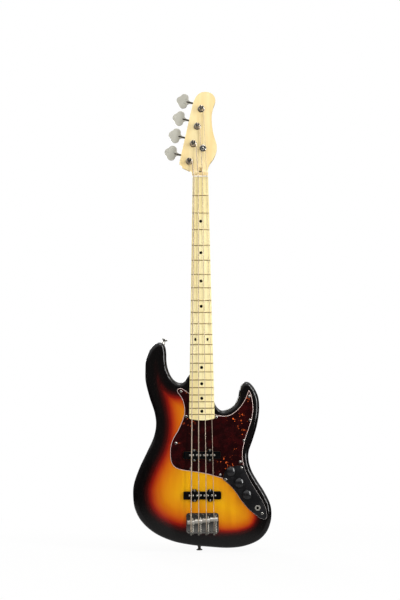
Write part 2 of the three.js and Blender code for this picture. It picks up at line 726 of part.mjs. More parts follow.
function makeBody(group) {
  const pocket = slab(neckShape(SEAT_GAP, BODY_TOP), -OVERRUN, POCKET_DEPTH);
  const rout = PICKUP_HEIGHT - PICKUP_RISE + FOAM_HEIGHT + SEAT_GAP;
  const routs = Object.values(PICKUP_FROM_BRIDGE).map((offset) => {
    return pickupBlock(BRIDGE_LINE + offset, COIL_WALL_GAP, -OVERRUN, rout);
  });
  const stops = [...Object.values(KNOB_SHARES), JACK_SHARE].map(onBody);
  const cavity = stops.slice(1).map((stop, i) => {
    return slab(stadium(stops[i], stop, CAVITY_RADIUS), -OVERRUN, CAVITY_DEPTH, CAVITY_STEPS);
  });
  const [bridgeRout, neckRout] = Object.values(PICKUP_FROM_BRIDGE).map((offset) => {
    return new THREE.Vector2(PICKUP_LENGTH / 3, BRIDGE_LINE + offset);
  });
  const wireChannels = [[bridgeRout, neckRout], [bridgeRout, stops[2]]].map(([from, to]) => {
    const front = WIRE_HOLE_DEPTH - WIRE_HOLE_RADIUS;
    return slab(stadium(from, to, WIRE_HOLE_RADIUS), front, front + 2 * WIRE_HOLE_RADIUS, ROUT_STEPS);
  });
  const boltHoles = boltPlaces().places.map(({ x, z }) => {
    return pin(BOLT_RADIUS + RUNNING_GAP, -OVERRUN, BODY_DEPTH + OVERRUN, x, z, SMALL_SIDES);
  });
  const shape = cut(
    bodyBlank(), pocket, ...routs, ...cavity, ...wireChannels, ...boltHoles, armContour(), bellyContour(),
    buttonSeat(HORN_BUTTON_SHARE, HORN_BUTTON_TILT), buttonSeat(END_BUTTON_SHARE, Math.PI),
  );
  mesh('body', shape, FINISHES.sunburst, group);
}

// Neck, fingerboard, nut and truss rod
function boardCrown(lift, bottomZ, topZ) {
  const half = BOARD_END_WIDTH / 2 + OVERRUN;
  const shape = new THREE.Shape();
  shape.moveTo(-half, BOARD_BACK);
  for (let i = 0; i <= CROWN_STEPS; i += 1) {
    const x = -half + (2 * half * i) / CROWN_STEPS;
    shape.lineTo(x, boardDrop(x) - BOARD_RISE - lift);
  }
  shape.lineTo(half, BOARD_BACK);
  shape.closePath();
  const geometry = new THREE.ExtrudeGeometry(shape, { depth: topZ - bottomZ, bevelEnabled: false });
  geometry.translate(0, 0, bottomZ);
  return solid(geometry);
}

function boardShape() {
  const half = boardHalfWidth(BOARD_END);
  const cornerZ = BOARD_END + BOARD_END_BULGE + BOARD_CORNER;
  const nutHalf = boardHalfWidth(-SEAT_GAP);
  const shape = new THREE.Shape();
  shape.moveTo(-nutHalf, -SEAT_GAP);
  shape.lineTo(-half, cornerZ);
  shape.quadraticCurveTo(-half, cornerZ - BOARD_CORNER, BOARD_CORNER - half, cornerZ - BOARD_CORNER);
  shape.quadraticCurveTo(0, BOARD_END - BOARD_END_BULGE, half - BOARD_CORNER, cornerZ - BOARD_CORNER);
  shape.quadraticCurveTo(half, cornerZ - BOARD_CORNER, half, cornerZ);
  shape.lineTo(nutHalf, -SEAT_GAP);
  shape.closePath();
  return shape;
}

function fret(number) {
  const z = fretZ(number);
  const half = boardHalfWidth(z) - SEAT_GAP;
  const sections = Array.from({ length: CROWN_STEPS + 1 }, (unused, i) => {
    const x = -half + (2 * half * i) / CROWN_STEPS;
    const base = boardDrop(x) - BOARD_RISE + FRET_SINK;
    const top = base - FRET_SINK - FRET_HEIGHT;
    return [
      new THREE.Vector3(x, base, z - FRET_WIDTH / 2),
      new THREE.Vector3(x, base, z + FRET_WIDTH / 2),
      new THREE.Vector3(x, top, z),
    ];
  });
  return loft(sections, (point) => new THREE.Vector2(point.y, point.z));
}

function makeFingerboard(group) {
  const blank = slab(boardShape(), -BOARD_RISE - OVERRUN, BOARD_BACK);
  const board = blank.intersect(boardCrown(0, BOARD_END - OVERRUN, OVERRUN));
  const frets = Array.from({ length: FRET_COUNT }, (unused, i) => fret(i + 1));
  mesh('fingerboard', join(board, ...frets), FINISHES.maple, group);
}

function neckBackAt(z) {
  const octave = fretZ(12);
  return NECK_BACK_AT_NUT + ((NECK_BACK_AT_OCTAVE - NECK_BACK_AT_NUT) * z) / octave;
}

// One cross-section of the neck: a flat front, straight sides and a back that a power curve rounds
function neckSection(z, half, front, back, power) {
  const steps = NECK_BACK_STEPS;
  const ring = [];
  for (let i = 0; i <= steps; i += 1) {
    const angle = (Math.PI * i) / steps;
    const across = Math.sign(Math.cos(angle)) * Math.abs(Math.cos(angle)) ** (2 / power);
    const deep = Math.abs(Math.sin(angle)) ** (2 / power);
    ring.push(new THREE.Vector3(half * across, front + (back - front) * deep, z));
  }
  return ring;
}

function neckShaft() {
  const round = SHAFT_ROUNDNESS;
  const square = HEEL_SQUARENESS;
  const heelTop = HEEL_END + HEEL_LENGTH;
  const stations = [
    [HEEL_END, HEEL_BACK, square],
    [heelTop, HEEL_BACK, square],
    [heelTop + HEEL_BLEND / 4, HEEL_BACK - (HEEL_BACK - neckBackAt(heelTop)) / 4, square / 2],
    [heelTop + HEEL_BLEND / 2, (HEEL_BACK + neckBackAt(heelTop)) / 2, square / 4],
    [heelTop + HEEL_BLEND, neckBackAt(heelTop + HEEL_BLEND), round],
    [fretZ(5), neckBackAt(fretZ(5)), round],
    [0, NECK_BACK_AT_NUT, round],
  ];
  const rings = stations.map(([z, back, power]) => {
    return neckSection(z, boardHalfWidth(z), NECK_FRONT, back, power);
  });
  const half = boardHalfWidth(0);
  const insideFace = HEAD_FACE + SEAT_GAP;
  rings.push(neckSection(HEAD_BACK_RAMP / 2, half, insideFace, NECK_BACK_AT_NUT + SEAT_GAP, round));
  rings.push(neckSection(HEAD_BACK_RAMP, half, insideFace, HEAD_BACK - SEAT_GAP, round));
  return loft(rings, (point) => new THREE.Vector2(point.x, point.y));
}

function headOutline() {
  const place = ([xShare, zShare]) => new THREE.Vector2(xShare * HEAD_HALF_WIDTH, zShare * HEAD_LENGTH);
  const shape = new THREE.Shape();
  const bass = HEAD_BASS_SHARES.map(place);
  const tip = HEAD_TIP_SHARES.map(place);
  shape.moveTo(bass[0].x, bass[0].y);
  shape.splineThru(bass.slice(1));
  shape.lineTo(tip[0].x, tip[0].y);
  shape.splineThru(tip.slice(1));
  shape.closePath();
  return new THREE.Shape(shape.getPoints(CURVE_STEPS));
}

// The headstock seen from the side: the nut's shelf, the ramp down to the face and the back's sweep
function headProfile() {
  const shelfFront = NECK_FRONT - SHELF_HEIGHT;
  const shelfStart = NUT_LENGTH + SEAT_GAP;
  const rampStart = shelfStart + SHELF_LENGTH;
  const rampEnd = rampStart + HEAD_RAMP;
  const tip = HEAD_LENGTH + OVERRUN;
  const shape = new THREE.Shape();
  shape.moveTo(NECK_FRONT, -OVERRUN);
  shape.lineTo(NECK_FRONT, shelfStart);
  shape.lineTo(shelfFront, shelfStart);
  shape.lineTo(shelfFront, rampStart);
  shape.quadraticCurveTo(HEAD_FACE, rampStart, HEAD_FACE, rampEnd);
  shape.lineTo(HEAD_FACE, tip);
  shape.lineTo(HEAD_BACK, tip);
  shape.lineTo(HEAD_BACK, HEAD_BACK_RAMP);
  shape.quadraticCurveTo(NECK_BACK_AT_NUT / 2, HEAD_BACK_RAMP / 2, 0, -OVERRUN / 2);
  shape.closePath();
  return new THREE.Shape(shape.getPoints(CAVITY_STEPS));
}

function makeNeck(group) {
  const blank = slab(headOutline(), -BOARD_RISE, HEAD_BACK + OVERRUN);
  const head = blank.intersect(bar(headProfile(), -HEAD_LENGTH, HEAD_LENGTH));
  const heelTrim = slab(neckShape(0, HEAD_LENGTH + OVERRUN), -BOARD_RISE, HEAD_BACK + OVERRUN);
  const channelHalf = ROD_ANCHOR_RADIUS + SEAT_GAP;
  const channelEnd = rodBottom() - SEAT_GAP;
  const channelStart = ROD_NUT_START - RUNNING_GAP;
  const accessRadius = ROD_NUT_RADIUS + RUNNING_GAP;
  const postHoles = PLANS.map(({ postX, postZ }) => {
    const hole = pin(BUSHING_RADIUS + SEAT_GAP, HEAD_FACE - OVERRUN, HEAD_BACK + OVERRUN, 0, 0);
    return hole.rotate([0, THREE.MathUtils.radToDeg(TUNER_LINE_ANGLE), 0]).translate([postX, 0, postZ]);
  });
  const boltHoles = boltPlaces().places.map(({ x, z }) => {
    const bottom = HEEL_BACK - BOLT_INTO_NECK - SEAT_GAP;
    return pin(BOLT_RADIUS + SEAT_GAP, bottom, HEEL_BACK + OVERRUN, x, z, SMALL_SIDES);
  });
  const retainerHole = pin(
    RETAINER_SCREW_RADIUS / 2 + SEAT_GAP, HEAD_FACE - OVERRUN, HEAD_FACE + HEAD_THICKNESS / 2,
    RETAINER_X, RETAINER_Z, SMALL_SIDES,
  );
  const shape = cut(
    join(neckShaft().intersect(heelTrim), head),
    block(-channelHalf, channelHalf, -BOARD_RISE, ROD_AXIS_Y + channelHalf, channelEnd, -OVERRUN),
    turnedUp([
      [0, channelEnd / 2], [channelHalf, channelEnd / 2], [channelHalf, channelStart],
      [accessRadius, channelStart], [accessRadius, ROD_ACCESS_END], [0, ROD_ACCESS_END],
    ], 0, ROD_AXIS_Y),
    ...postHoles, ...boltHoles, retainerHole,
  );
  mesh('neck', shape, FINISHES.maple, group);
}

function makeNut(group) {
  const half = boardHalfWidth(0);
  const top = -BOARD_RISE - NUT_ABOVE_BOARD;
  const blank = block(-half, half, top - OVERRUN, NECK_FRONT - SEAT_GAP, 0, NUT_LENGTH);
  const crown = boardCrown(NUT_ABOVE_BOARD, -OVERRUN, OVERRUN);
  const slots = PLANS.map(({ nutX, slotY, radius }) => {
    const slotHalf = radius + SEAT_GAP;
    return block(nutX - slotHalf, nutX + slotHalf, top - OVERRUN, slotY, -OVERRUN, OVERRUN);
  });
  mesh('nut', cut(blank.intersect(crown), ...slots), FINISHES.bone, group);
}

function rodBottom() {
  return HEEL_END + OVERRUN + ROD_ANCHOR_LENGTH;
}

function makeTrussRod(group) {
  const bottom = rodBottom();
  const rod = turnedUp([
    [0, bottom], [ROD_ANCHOR_RADIUS, bottom], [ROD_ANCHOR_RADIUS, bottom + ROD_ANCHOR_LENGTH],
    [ROD_RADIUS, bottom + ROD_ANCHOR_LENGTH], [ROD_RADIUS, ROD_HEAD_END], [0, ROD_HEAD_END],
  ], 0, ROD_AXIS_Y, SMALL_SIDES);
  mesh('truss_rod', rod, FINISHES.steel, group);
  const bore = ROD_RADIUS + RUNNING_GAP;
  const end = ROD_NUT_START + ROD_NUT_LENGTH;
  const nut = turnedUp([
    [ROD_NUT_RADIUS, ROD_NUT_START], [ROD_NUT_RADIUS, end], [bore, end], [bore, ROD_NUT_START],
    [ROD_NUT_RADIUS, ROD_NUT_START],
  ], 0, ROD_AXIS_Y);
  mesh('truss_rod_nut', nut, FINISHES.steel, group);
}

function makeRetainer(group) {
  const top = HEAD_FACE - RETAINER_STRING_HEIGHT;
  const screw = RETAINER_SCREW_RADIUS / 2;
  const disc = turned([
    [0, top - RETAINER_THICKNESS - RETAINER_SCREW_HEIGHT],
    [RETAINER_SCREW_RADIUS, top - RETAINER_THICKNESS - RETAINER_SCREW_HEIGHT / 2],
    [RETAINER_SCREW_RADIUS, top - RETAINER_THICKNESS],
    [RETAINER_RADIUS - RETAINER_THICKNESS / 2, top - RETAINER_THICKNESS],
    [RETAINER_RADIUS, top - RETAINER_THICKNESS / 2],
    [RETAINER_RADIUS - RETAINER_THICKNESS / 4, top],
    [RETAINER_STEM_RADIUS, top],
    [RETAINER_STEM_RADIUS, HEAD_FACE - SEAT_GAP],
    [screw, HEAD_FACE - SEAT_GAP],
    [screw, HEAD_FACE + HEAD_THICKNESS / 2 - SEAT_GAP],
    [0, HEAD_FACE + HEAD_THICKNESS / 2 - SEAT_GAP],
  ], RETAINER_X, RETAINER_Z);
  mesh('string_retainer', disc, FINISHES.chrome, group);
}

// Tuners, in a frame turned with the headstock's bass edge: local -X points out to the key
const PLATE_FRONT = HEAD_BACK + SEAT_GAP;
const PLATE_BACK = PLATE_FRONT + TUNER_PLATE_THICKNESS;
const GEAR_PITCH_RADIUS = (GEAR_TEETH * GEAR_MODULE) / 2;
const WORM_OUTER_RADIUS = WORM_PITCH_RADIUS + GEAR_MODULE;
const WORM_ROOT_RADIUS = WORM_PITCH_RADIUS - GEAR_ROOT_SHARE * GEAR_MODULE;
const WORM_Y = PLATE_BACK + WORM_OUTER_RADIUS + SEAT_GAP;
const WORM_Z = GEAR_PITCH_RADIUS + WORM_PITCH_RADIUS;
const THREAD_PITCH = Math.PI * GEAR_MODULE;
const TOOTH_ROOT_SHARE = 0.51;
const TOOTH_TIP_SHARE = 0.22;
const THREAD_ROOT_SHARE = 0.54;
const THREAD_TIP_SHARE = 0.19;

function gearShape() {
  const root = GEAR_PITCH_RADIUS - GEAR_ROOT_SHARE * GEAR_MODULE;
  const outer = GEAR_PITCH_RADIUS + GEAR_MODULE;
  const points = [];
  for (let tooth = 0; tooth < GEAR_TEETH; tooth += 1) {
    const center = (2 * Math.PI * tooth) / GEAR_TEETH;
    const rootTurn = (TOOTH_ROOT_SHARE * THREAD_PITCH) / 2 / root;
    const tipTurn = (TOOTH_TIP_SHARE * THREAD_PITCH) / 2 / outer;
    const flanks = [[root, -rootTurn], [outer, -tipTurn], [outer, tipTurn], [root, rootTurn]];
    for (const [radius, turn] of flanks) {
      points.push(new THREE.Vector2(radius * Math.sin(center + turn), radius * Math.cos(center + turn)));
    }
  }
  return new THREE.Shape(points);
}

function wormThread() {
  const steps = WORM_TURNS * WORM_STEPS;
  const rootHalf = (THREAD_ROOT_SHARE * THREAD_PITCH) / 2;
  const tipHalf = (THREAD_TIP_SHARE * THREAD_PITCH) / 2;
  const sunk = WORM_ROOT_RADIUS / 2;
  const outer = WORM_OUTER_RADIUS;
  const profile = [[-rootHalf, sunk], [rootHalf, sunk], [tipHalf, outer], [-tipHalf, outer]];
  const rings = Array.from({ length: steps + 1 }, (unused, step) => {
    const angle = (2 * Math.PI * step) / WORM_STEPS + Math.PI * (5 / 2 - WORM_TURNS);
    const x = THREAD_PITCH * (step / WORM_STEPS - WORM_TURNS / 2);
    return profile.map(([across, radius]) => {
      return new THREE.Vector3(x + across, radius * Math.cos(angle), radius * Math.sin(angle));
    });
  });
  return skin(rings, [[0, 1, 2], [0, 2, 3]]).translate([0, WORM_Y, WORM_Z]);
}

function makeTunerPlate(plan, frame) {
  const width = TUNER_PLATE_REACH + TUNER_PLATE_INSIDE;
  const height = TUNER_PLATE_BELOW + TUNER_PLATE_ABOVE;
  const centerX = (TUNER_PLATE_INSIDE - TUNER_PLATE_REACH) / 2;
  const centerZ = (TUNER_PLATE_ABOVE - TUNER_PLATE_BELOW) / 2;
  const outline = roundedRectangle(centerX, centerZ, width, height, TUNER_PLATE_CORNER);
  const earHalf = KEY_SHAFT_RADIUS + TUNER_EAR_MARGIN;
  const ears = [-TUNER_EAR_OFFSET - TUNER_EAR_THICKNESS, TUNER_EAR_OFFSET].map((x) => {
    const right = x + TUNER_EAR_THICKNESS;
    return block(x, right, PLATE_FRONT, WORM_Y + earHalf, WORM_Z - earHalf, WORM_Z + earHalf);
  });
  const bore = KEY_SHAFT_RADIUS + RUNNING_GAP;
  const reach = TUNER_PLATE_REACH;
  const shaftHole = turnedAcross([[0, -reach], [bore, -reach], [bore, reach], [0, reach]], WORM_Y, WORM_Z);
  const postHole = pin(POST_RADIUS + RUNNING_GAP, PLATE_FRONT - OVERRUN, PLATE_BACK + OVERRUN, 0, 0);
  const shape = cut(join(slab(outline, PLATE_FRONT, PLATE_BACK, ROUT_STEPS), ...ears), shaftHole, postHole);
  mesh(`tuner_plate_${plan.name}`, shape, FINISHES.chrome, frame);
}

function makeTunerBushing(plan, frame) {
  const flangeBack = HEAD_FACE - SEAT_GAP;
  const flangeFront = flangeBack - BUSHING_FLANGE_THICKNESS;
  const bore = POST_RADIUS + RUNNING_GAP;
  const shape = turned([
    [bore, flangeFront], [BUSHING_FLANGE_RADIUS - SEAT_GAP, flangeFront],
    [BUSHING_FLANGE_RADIUS, flangeBack], [BUSHING_RADIUS, flangeBack],
    [BUSHING_RADIUS, flangeBack + BUSHING_LENGTH],
    [bore, flangeBack + BUSHING_LENGTH], [bore, flangeFront],
  ], 0, 0);
  mesh(`tuner_bushing_${plan.name}`, shape, FINISHES.chrome, frame);
}

function makeTunerPost(plan, frame) {
  const tip = HEAD_FACE - POST_HEIGHT;
  const waistTop = tip + POST_TIP_LENGTH;
  const waistBottom = HEAD_FACE - SEAT_GAP - BUSHING_FLANGE_THICKNESS - SEAT_GAP;
  const gearFront = WORM_Y - GEAR_FACE / 2;
  const gearBack = WORM_Y + GEAR_FACE / 2;
  const post = turned([
    [0, tip], [POST_RADIUS, tip], [POST_RADIUS, waistTop - SEAT_GAP],
    [POST_WAIST_RADIUS, waistTop], [POST_WAIST_RADIUS, waistBottom], [POST_RADIUS, waistBottom + SEAT_GAP],
    [POST_RADIUS, PLATE_BACK + SEAT_GAP], [GEAR_COLLAR_RADIUS, PLATE_BACK + SEAT_GAP],
    [GEAR_COLLAR_RADIUS, gearBack + GEAR_MODULE], [0, gearBack + GEAR_MODULE],
  ], 0, 0);
  const slotBottom = tip + POST_SLOT_DEPTH;
  const slotHalf = POST_SLOT_WIDTH / 2;
  const slot = block(-slotHalf, slotHalf, tip - OVERRUN, slotBottom, -2 * POST_RADIUS, 2 * POST_RADIUS);
  const shape = cut(join(post, slab(gearShape(), gearFront, gearBack)), slot);
  mesh(`tuner_post_${plan.name}`, shape, FINISHES.chrome, frame);
}

function makeTunerKey(plan, frame) {
  const collarStart = TUNER_EAR_OFFSET + TUNER_EAR_THICKNESS + SEAT_GAP;
  const collarEnd = collarStart + KEY_COLLAR_LENGTH;
  const coreEnd = TUNER_EAR_OFFSET - SEAT_GAP;
  const shaft = turnedAcross([
    [0, -KEY_REACH], [KEY_SHAFT_RADIUS, -KEY_REACH], [KEY_SHAFT_RADIUS, -coreEnd],
    [WORM_ROOT_RADIUS, -coreEnd], [WORM_ROOT_RADIUS, coreEnd],
    [KEY_SHAFT_RADIUS, coreEnd], [KEY_SHAFT_RADIUS, collarStart],
    [KEY_COLLAR_RADIUS, collarStart], [KEY_COLLAR_RADIUS, collarEnd], [0, collarEnd],
  ], WORM_Y, WORM_Z, SMALL_SIDES);
  const front = WORM_Y - KEY_THICKNESS / 2;
  const back = WORM_Y + KEY_THICKNESS / 2;
  const lobeX = -KEY_REACH;
  const lobes = [
    [lobeX + KEY_LOBE_RADIUS / 4, WORM_Z - KEY_LOBE_SPREAD],
    [lobeX + KEY_LOBE_RADIUS / 4, WORM_Z + KEY_LOBE_SPREAD],
    [lobeX - KEY_LOBE_RADIUS / 2, WORM_Z],
  ].map(([x, z]) => pin(KEY_LOBE_RADIUS, front, back, x, z));
  const neckShapePoints = [
    [lobeX + KEY_LOBE_RADIUS / 2, -KEY_LOBE_SPREAD - KEY_LOBE_RADIUS / 2],
    [lobeX + KEY_NECK, -KEY_NECK_HALF_WIDTH],
    [lobeX + KEY_NECK, KEY_NECK_HALF_WIDTH],
    [lobeX + KEY_LOBE_RADIUS / 2, KEY_LOBE_SPREAD + KEY_LOBE_RADIUS / 2],
  ].map(([x, z]) => new THREE.Vector2(x, WORM_Z + z));
  const taper = slab(new THREE.Shape(neckShapePoints), front, back);
  const shape = join(shaft, wormThread(), ...lobes, taper);
  mesh(`tuner_key_${plan.name}`, shape, FINISHES.chrome, frame);
}

function makeTuner(plan, group) {
  const frame = new THREE.Group();
  frame.position.set(plan.postX, 0, plan.postZ);
  frame.rotation.y = TUNER_LINE_ANGLE;
  group.add(frame);
  makeTunerPlate(plan, frame);
  makeTunerBushing(plan, frame);
  makeTunerPost(plan, frame);
  makeTunerKey(plan, frame);
}

// Guard, control plate, knobs, pots and jack
function makeGuard(group) {
  const shape = new THREE.Shape();
  const start = onBody(GUARD_BASS_SHARES[0]);
  shape.moveTo(start.x, start.y);
  shape.splineThru(GUARD_BASS_SHARES.slice(1).map(onBody));
  const cutaway = GUARD_CUTAWAY_SHARES.map(onBody);
  shape.lineTo(cutaway[0].x, cutaway[0].y);
  shape.splineThru(cutaway.slice(1));
  shape.splineThru(GUARD_TREBLE_SHARES.slice(1).map(onBody));
  shape.splineThru(GUARD_CONTROL_SHARES.slice(1).map(onBody));
  const outline = new THREE.Shape(shape.getPoints(CURVE_STEPS));
  const neck = slab(neckShape(SEAT_GAP, BODY_TOP), GUARD_FRONT - OVERRUN, OVERRUN);
  const pickup = pickupBlock(
    BRIDGE_LINE + PICKUP_FROM_BRIDGE.neck, COIL_WALL_GAP, GUARD_FRONT - OVERRUN, OVERRUN,
  );
  const guard = cut(slab(outline, GUARD_FRONT, GUARD_BACK), neck, pickup);
  mesh('pickguard', guard, FINISHES.tortoise, group);
}

function makeControlPlate(group) {
  const arc = GUARD_CONTROL_SHARES.map(onBody).reverse();
  const center = onBody(CONTROL_ARC_CENTER_SHARE);
  const shrink = (point) => {
    const inward = new THREE.Vector2().subVectors(center, point).normalize();
    return point.clone().addScaledVector(inward, 2 * SEAT_GAP);
  };
  const arcPoints = arc.map(shrink);
  const shape = new THREE.Shape();
  shape.moveTo(arcPoints[0].x, arcPoints[0].y);
  shape.splineThru(arcPoints.slice(1));
  shape.splineThru(CONTROL_PLATE_RIM_SHARES.map(onBody));
  const outline = new THREE.Shape(shape.getPoints(CURVE_STEPS));
  const front = CONTROL_PLATE_FRONT - OVERRUN;
  const knobHoles = Object.values(KNOB_SHARES).map(onBody).map(({ x, y }) => {
    return pin(POT_BUSHING_RADIUS + SEAT_GAP, front, OVERRUN, x, y);
  });
  const jack = onBody(JACK_SHARE);
  const jackHole = pin(JACK_BUSHING_RADIUS + SEAT_GAP, front, OVERRUN, jack.x, jack.y);
  const plate = cut(slab(outline, CONTROL_PLATE_FRONT, GUARD_BACK), ...knobHoles, jackHole);
  mesh('control_plate', plate, FINISHES.blackPlate, group);
}

function makeKnob(name, share, group) {
  const { x, y: z } = onBody(share);
  const base = CONTROL_PLATE_FRONT - 2 * SEAT_GAP;
  const top = base - KNOB_HEIGHT;
  const shaftEnd = GUARD_BACK + POT_CAN_DEPTH;
  const shape = turned([
    [0, top - KNOB_CROWN], [KNOB_TOP_RADIUS - 2 * KNOB_CROWN, top - KNOB_CROWN], [KNOB_TOP_RADIUS, top],
    [KNOB_RADIUS, base - KNOB_CROWN], [KNOB_RADIUS, base], [KNOB_HOLLOW_RADIUS, base],
    [KNOB_HOLLOW_RADIUS, base - KNOB_HOLLOW_DEPTH], [SHAFT_RADIUS, base - KNOB_HOLLOW_DEPTH],
    [SHAFT_RADIUS, shaftEnd], [0, shaftEnd],
  ], x, z, WIDE_SIDES);
  mesh(`${name}_knob`, shape, FINISHES.blackPlastic, group);
}

function makePot(name, share, group) {
  const { x, y: z } = onBody(share);
  const nutBack = CONTROL_PLATE_FRONT - SEAT_GAP;
  const canFront = GUARD_BACK + 2 * SEAT_GAP;
  const canBack = canFront + POT_CAN_DEPTH + POT_NUT_THICKNESS;
  const bore = SHAFT_RADIUS + RUNNING_GAP;
  const boreEnd = GUARD_BACK + POT_CAN_DEPTH + SEAT_GAP;
  const body = turned([
    [bore, nutBack - POT_NUT_THICKNESS], [POT_NUT_RADIUS, nutBack - POT_NUT_THICKNESS],
    [POT_NUT_RADIUS, nutBack], [POT_BUSHING_RADIUS, nutBack],
    [POT_BUSHING_RADIUS, canFront], [POT_RADIUS, canFront], [POT_RADIUS, canBack], [0, canBack],
    [0, boreEnd], [bore, boreEnd], [bore, nutBack - POT_NUT_THICKNESS],
  ], x, z);
  const half = POT_LUG_WIDTH / 2;
  const lugs = [-1, 0, 1].map((side) => {
    const lugX = x + side * POT_LUG_SPACING;
    const lugEnd = z - POT_RADIUS - POT_LUG_REACH;
    const lugStart = z - POT_RADIUS / 2;
    return block(lugX - half, lugX + half, canFront + half, canFront + POT_LUG_WIDTH, lugEnd, lugStart);
  });
  mesh(`${name}_pot`, join(body, ...lugs), FINISHES.steel, group);
}

function makeJack(group) {
  const { x, y: z } = onBody(JACK_SHARE);
  const nutBack = CONTROL_PLATE_FRONT - SEAT_GAP;
  const nutFront = nutBack - JACK_NUT_THICKNESS;
  const frameFront = GUARD_BACK + 2 * SEAT_GAP;
  const frameBack = frameFront + JACK_FRAME_THICKNESS;
  const bushingBack = nutFront + JACK_BUSHING_LENGTH;
  const bushing = turned([
    [JACK_BORE_RADIUS, nutFront], [JACK_BUSHING_RADIUS, nutFront], [JACK_BUSHING_RADIUS, bushingBack],
    [JACK_BORE_RADIUS, bushingBack], [JACK_BORE_RADIUS, nutFront],
  ], x, z);
  const bore = pin(JACK_BORE_RADIUS + SEAT_GAP, nutFront - OVERRUN, frameBack + OVERRUN, x, z);
  const nut = pin(JACK_NUT_RADIUS, nutFront, nutBack, x, z, NUT_SIDES);
  const half = JACK_FRAME_WIDTH / 2;
  const frameShape = roundedRectangle(x, z, JACK_FRAME_WIDTH, JACK_FRAME_WIDTH, half / 2);
  const frame = slab(frameShape, frameFront, frameBack);
  const armOut = half - JACK_FRAME_THICKNESS;
  const armEnd = frameFront + JACK_ARM_LENGTH;
  const armHalf = JACK_ARM_WIDTH / 2;
  const arm = block(x + armOut, x + half, frameFront, armEnd, z - armHalf, z + armHalf);
  const contact = block(
    x + JACK_BORE_RADIUS / 2, x + half, armEnd - JACK_FRAME_THICKNESS, armEnd, z - armHalf, z + armHalf,
  );
  const sleeve = block(x - half, x - armOut, frameFront, bushingBack, z - armHalf, z + armHalf);
  const shape = join(bushing, cut(join(nut, frame), bore), arm, contact, sleeve);
  mesh('output_jack', shape, FINISHES.chrome, group);
}

// Pickups
function makePickup(place, group) {
  const centerZ = BRIDGE_LINE + PICKUP_FROM_BRIDGE[place];
  const top = -PICKUP_RISE;
  const bottom = top + PICKUP_HEIGHT;
  const stretch = 1 - PICKUP_FROM_BRIDGE[place] / SCALE_LENGTH;
  const stringPitch = NUT_STRING_SPACING + (BRIDGE_STRING_SPACING - NUT_STRING_SPACING) * stretch;
  const poles = PLANS.flatMap(({ order }) => {
    const x = (order - (PLANS.length - 1) / 2) * stringPitch;
    return [x - POLE_SPACING / 2, x + POLE_SPACING / 2];
  });
  const { main, ears } = pickupShapes(centerZ, 0);
  const earFront = top + PICKUP_EAR_HEIGHT / 4;
  const shell = join(
    slab(main, top, bottom, ROUT_STEPS),
    ...ears.map((ear) => slab(ear, earFront, earFront + PICKUP_EAR_HEIGHT, ROUT_STEPS)),
  );
  const innerLength = PICKUP_LENGTH - 2 * PICKUP_WALL;
  const innerWidth = PICKUP_WIDTH - 2 * PICKUP_WALL;
  const hollow = block(
    -innerLength / 2, innerLength / 2, top + PICKUP_WALL, bottom + OVERRUN,
    centerZ - innerWidth / 2, centerZ + innerWidth / 2,
  );
  const earZ = PICKUP_WIDTH / 2 + PICKUP_EAR_REACH / 2;
  const screwHoles = [-1, 1].flatMap((sideX) => [-1, 1].map((sideZ) => {
    const x = sideX * PICKUP_EAR_OFFSET;
    return pin(PICKUP_SCREW_RADIUS, top - OVERRUN, bottom, x, centerZ + sideZ * earZ, SMALL_SIDES);
  }));
  const poleHoles = poles.map((x) => {
    return pin(POLE_RADIUS + RUNNING_GAP, top - OVERRUN, 0, x, centerZ, SMALL_SIDES);
  });
  const cover = cut(shell, hollow, ...screwHoles, ...poleHoles);
  mesh(`${place}_pickup_cover`, cover, FINISHES.blackPlastic, group);

  const coilLength = innerLength - 2 * COIL_WALL_GAP;
  const coilWidth = innerWidth - 2 * COIL_WALL_GAP;
  const coilShape = roundedRectangle(0, centerZ, coilLength, coilWidth, PICKUP_CORNER);
  const coil = slab(coilShape, top + PICKUP_WALL + SEAT_GAP, bottom + FOAM_HEIGHT, ROUT_STEPS);
  const magnets = poles.map((x) => pin(POLE_RADIUS, top - POLE_RISE, 0, x, centerZ, SMALL_SIDES));
  mesh(`${place}_pickup_coil`, join(coil, ...magnets), FINISHES.coil, group);
}

// Bridge
const BRIDGE_BACK = -SEAT_GAP;
const BRIDGE_BASE_FRONT = BRIDGE_BACK - BRIDGE_THICKNESS;
const BRIDGE_TOP_Z = BRIDGE_LINE + BRIDGE_FRONT;
const BRIDGE_BOTTOM_Z = BRIDGE_TOP_Z - BRIDGE_LENGTH;
const LIP_FRONT_Z = BRIDGE_BOTTOM_Z + BRIDGE_LIP;

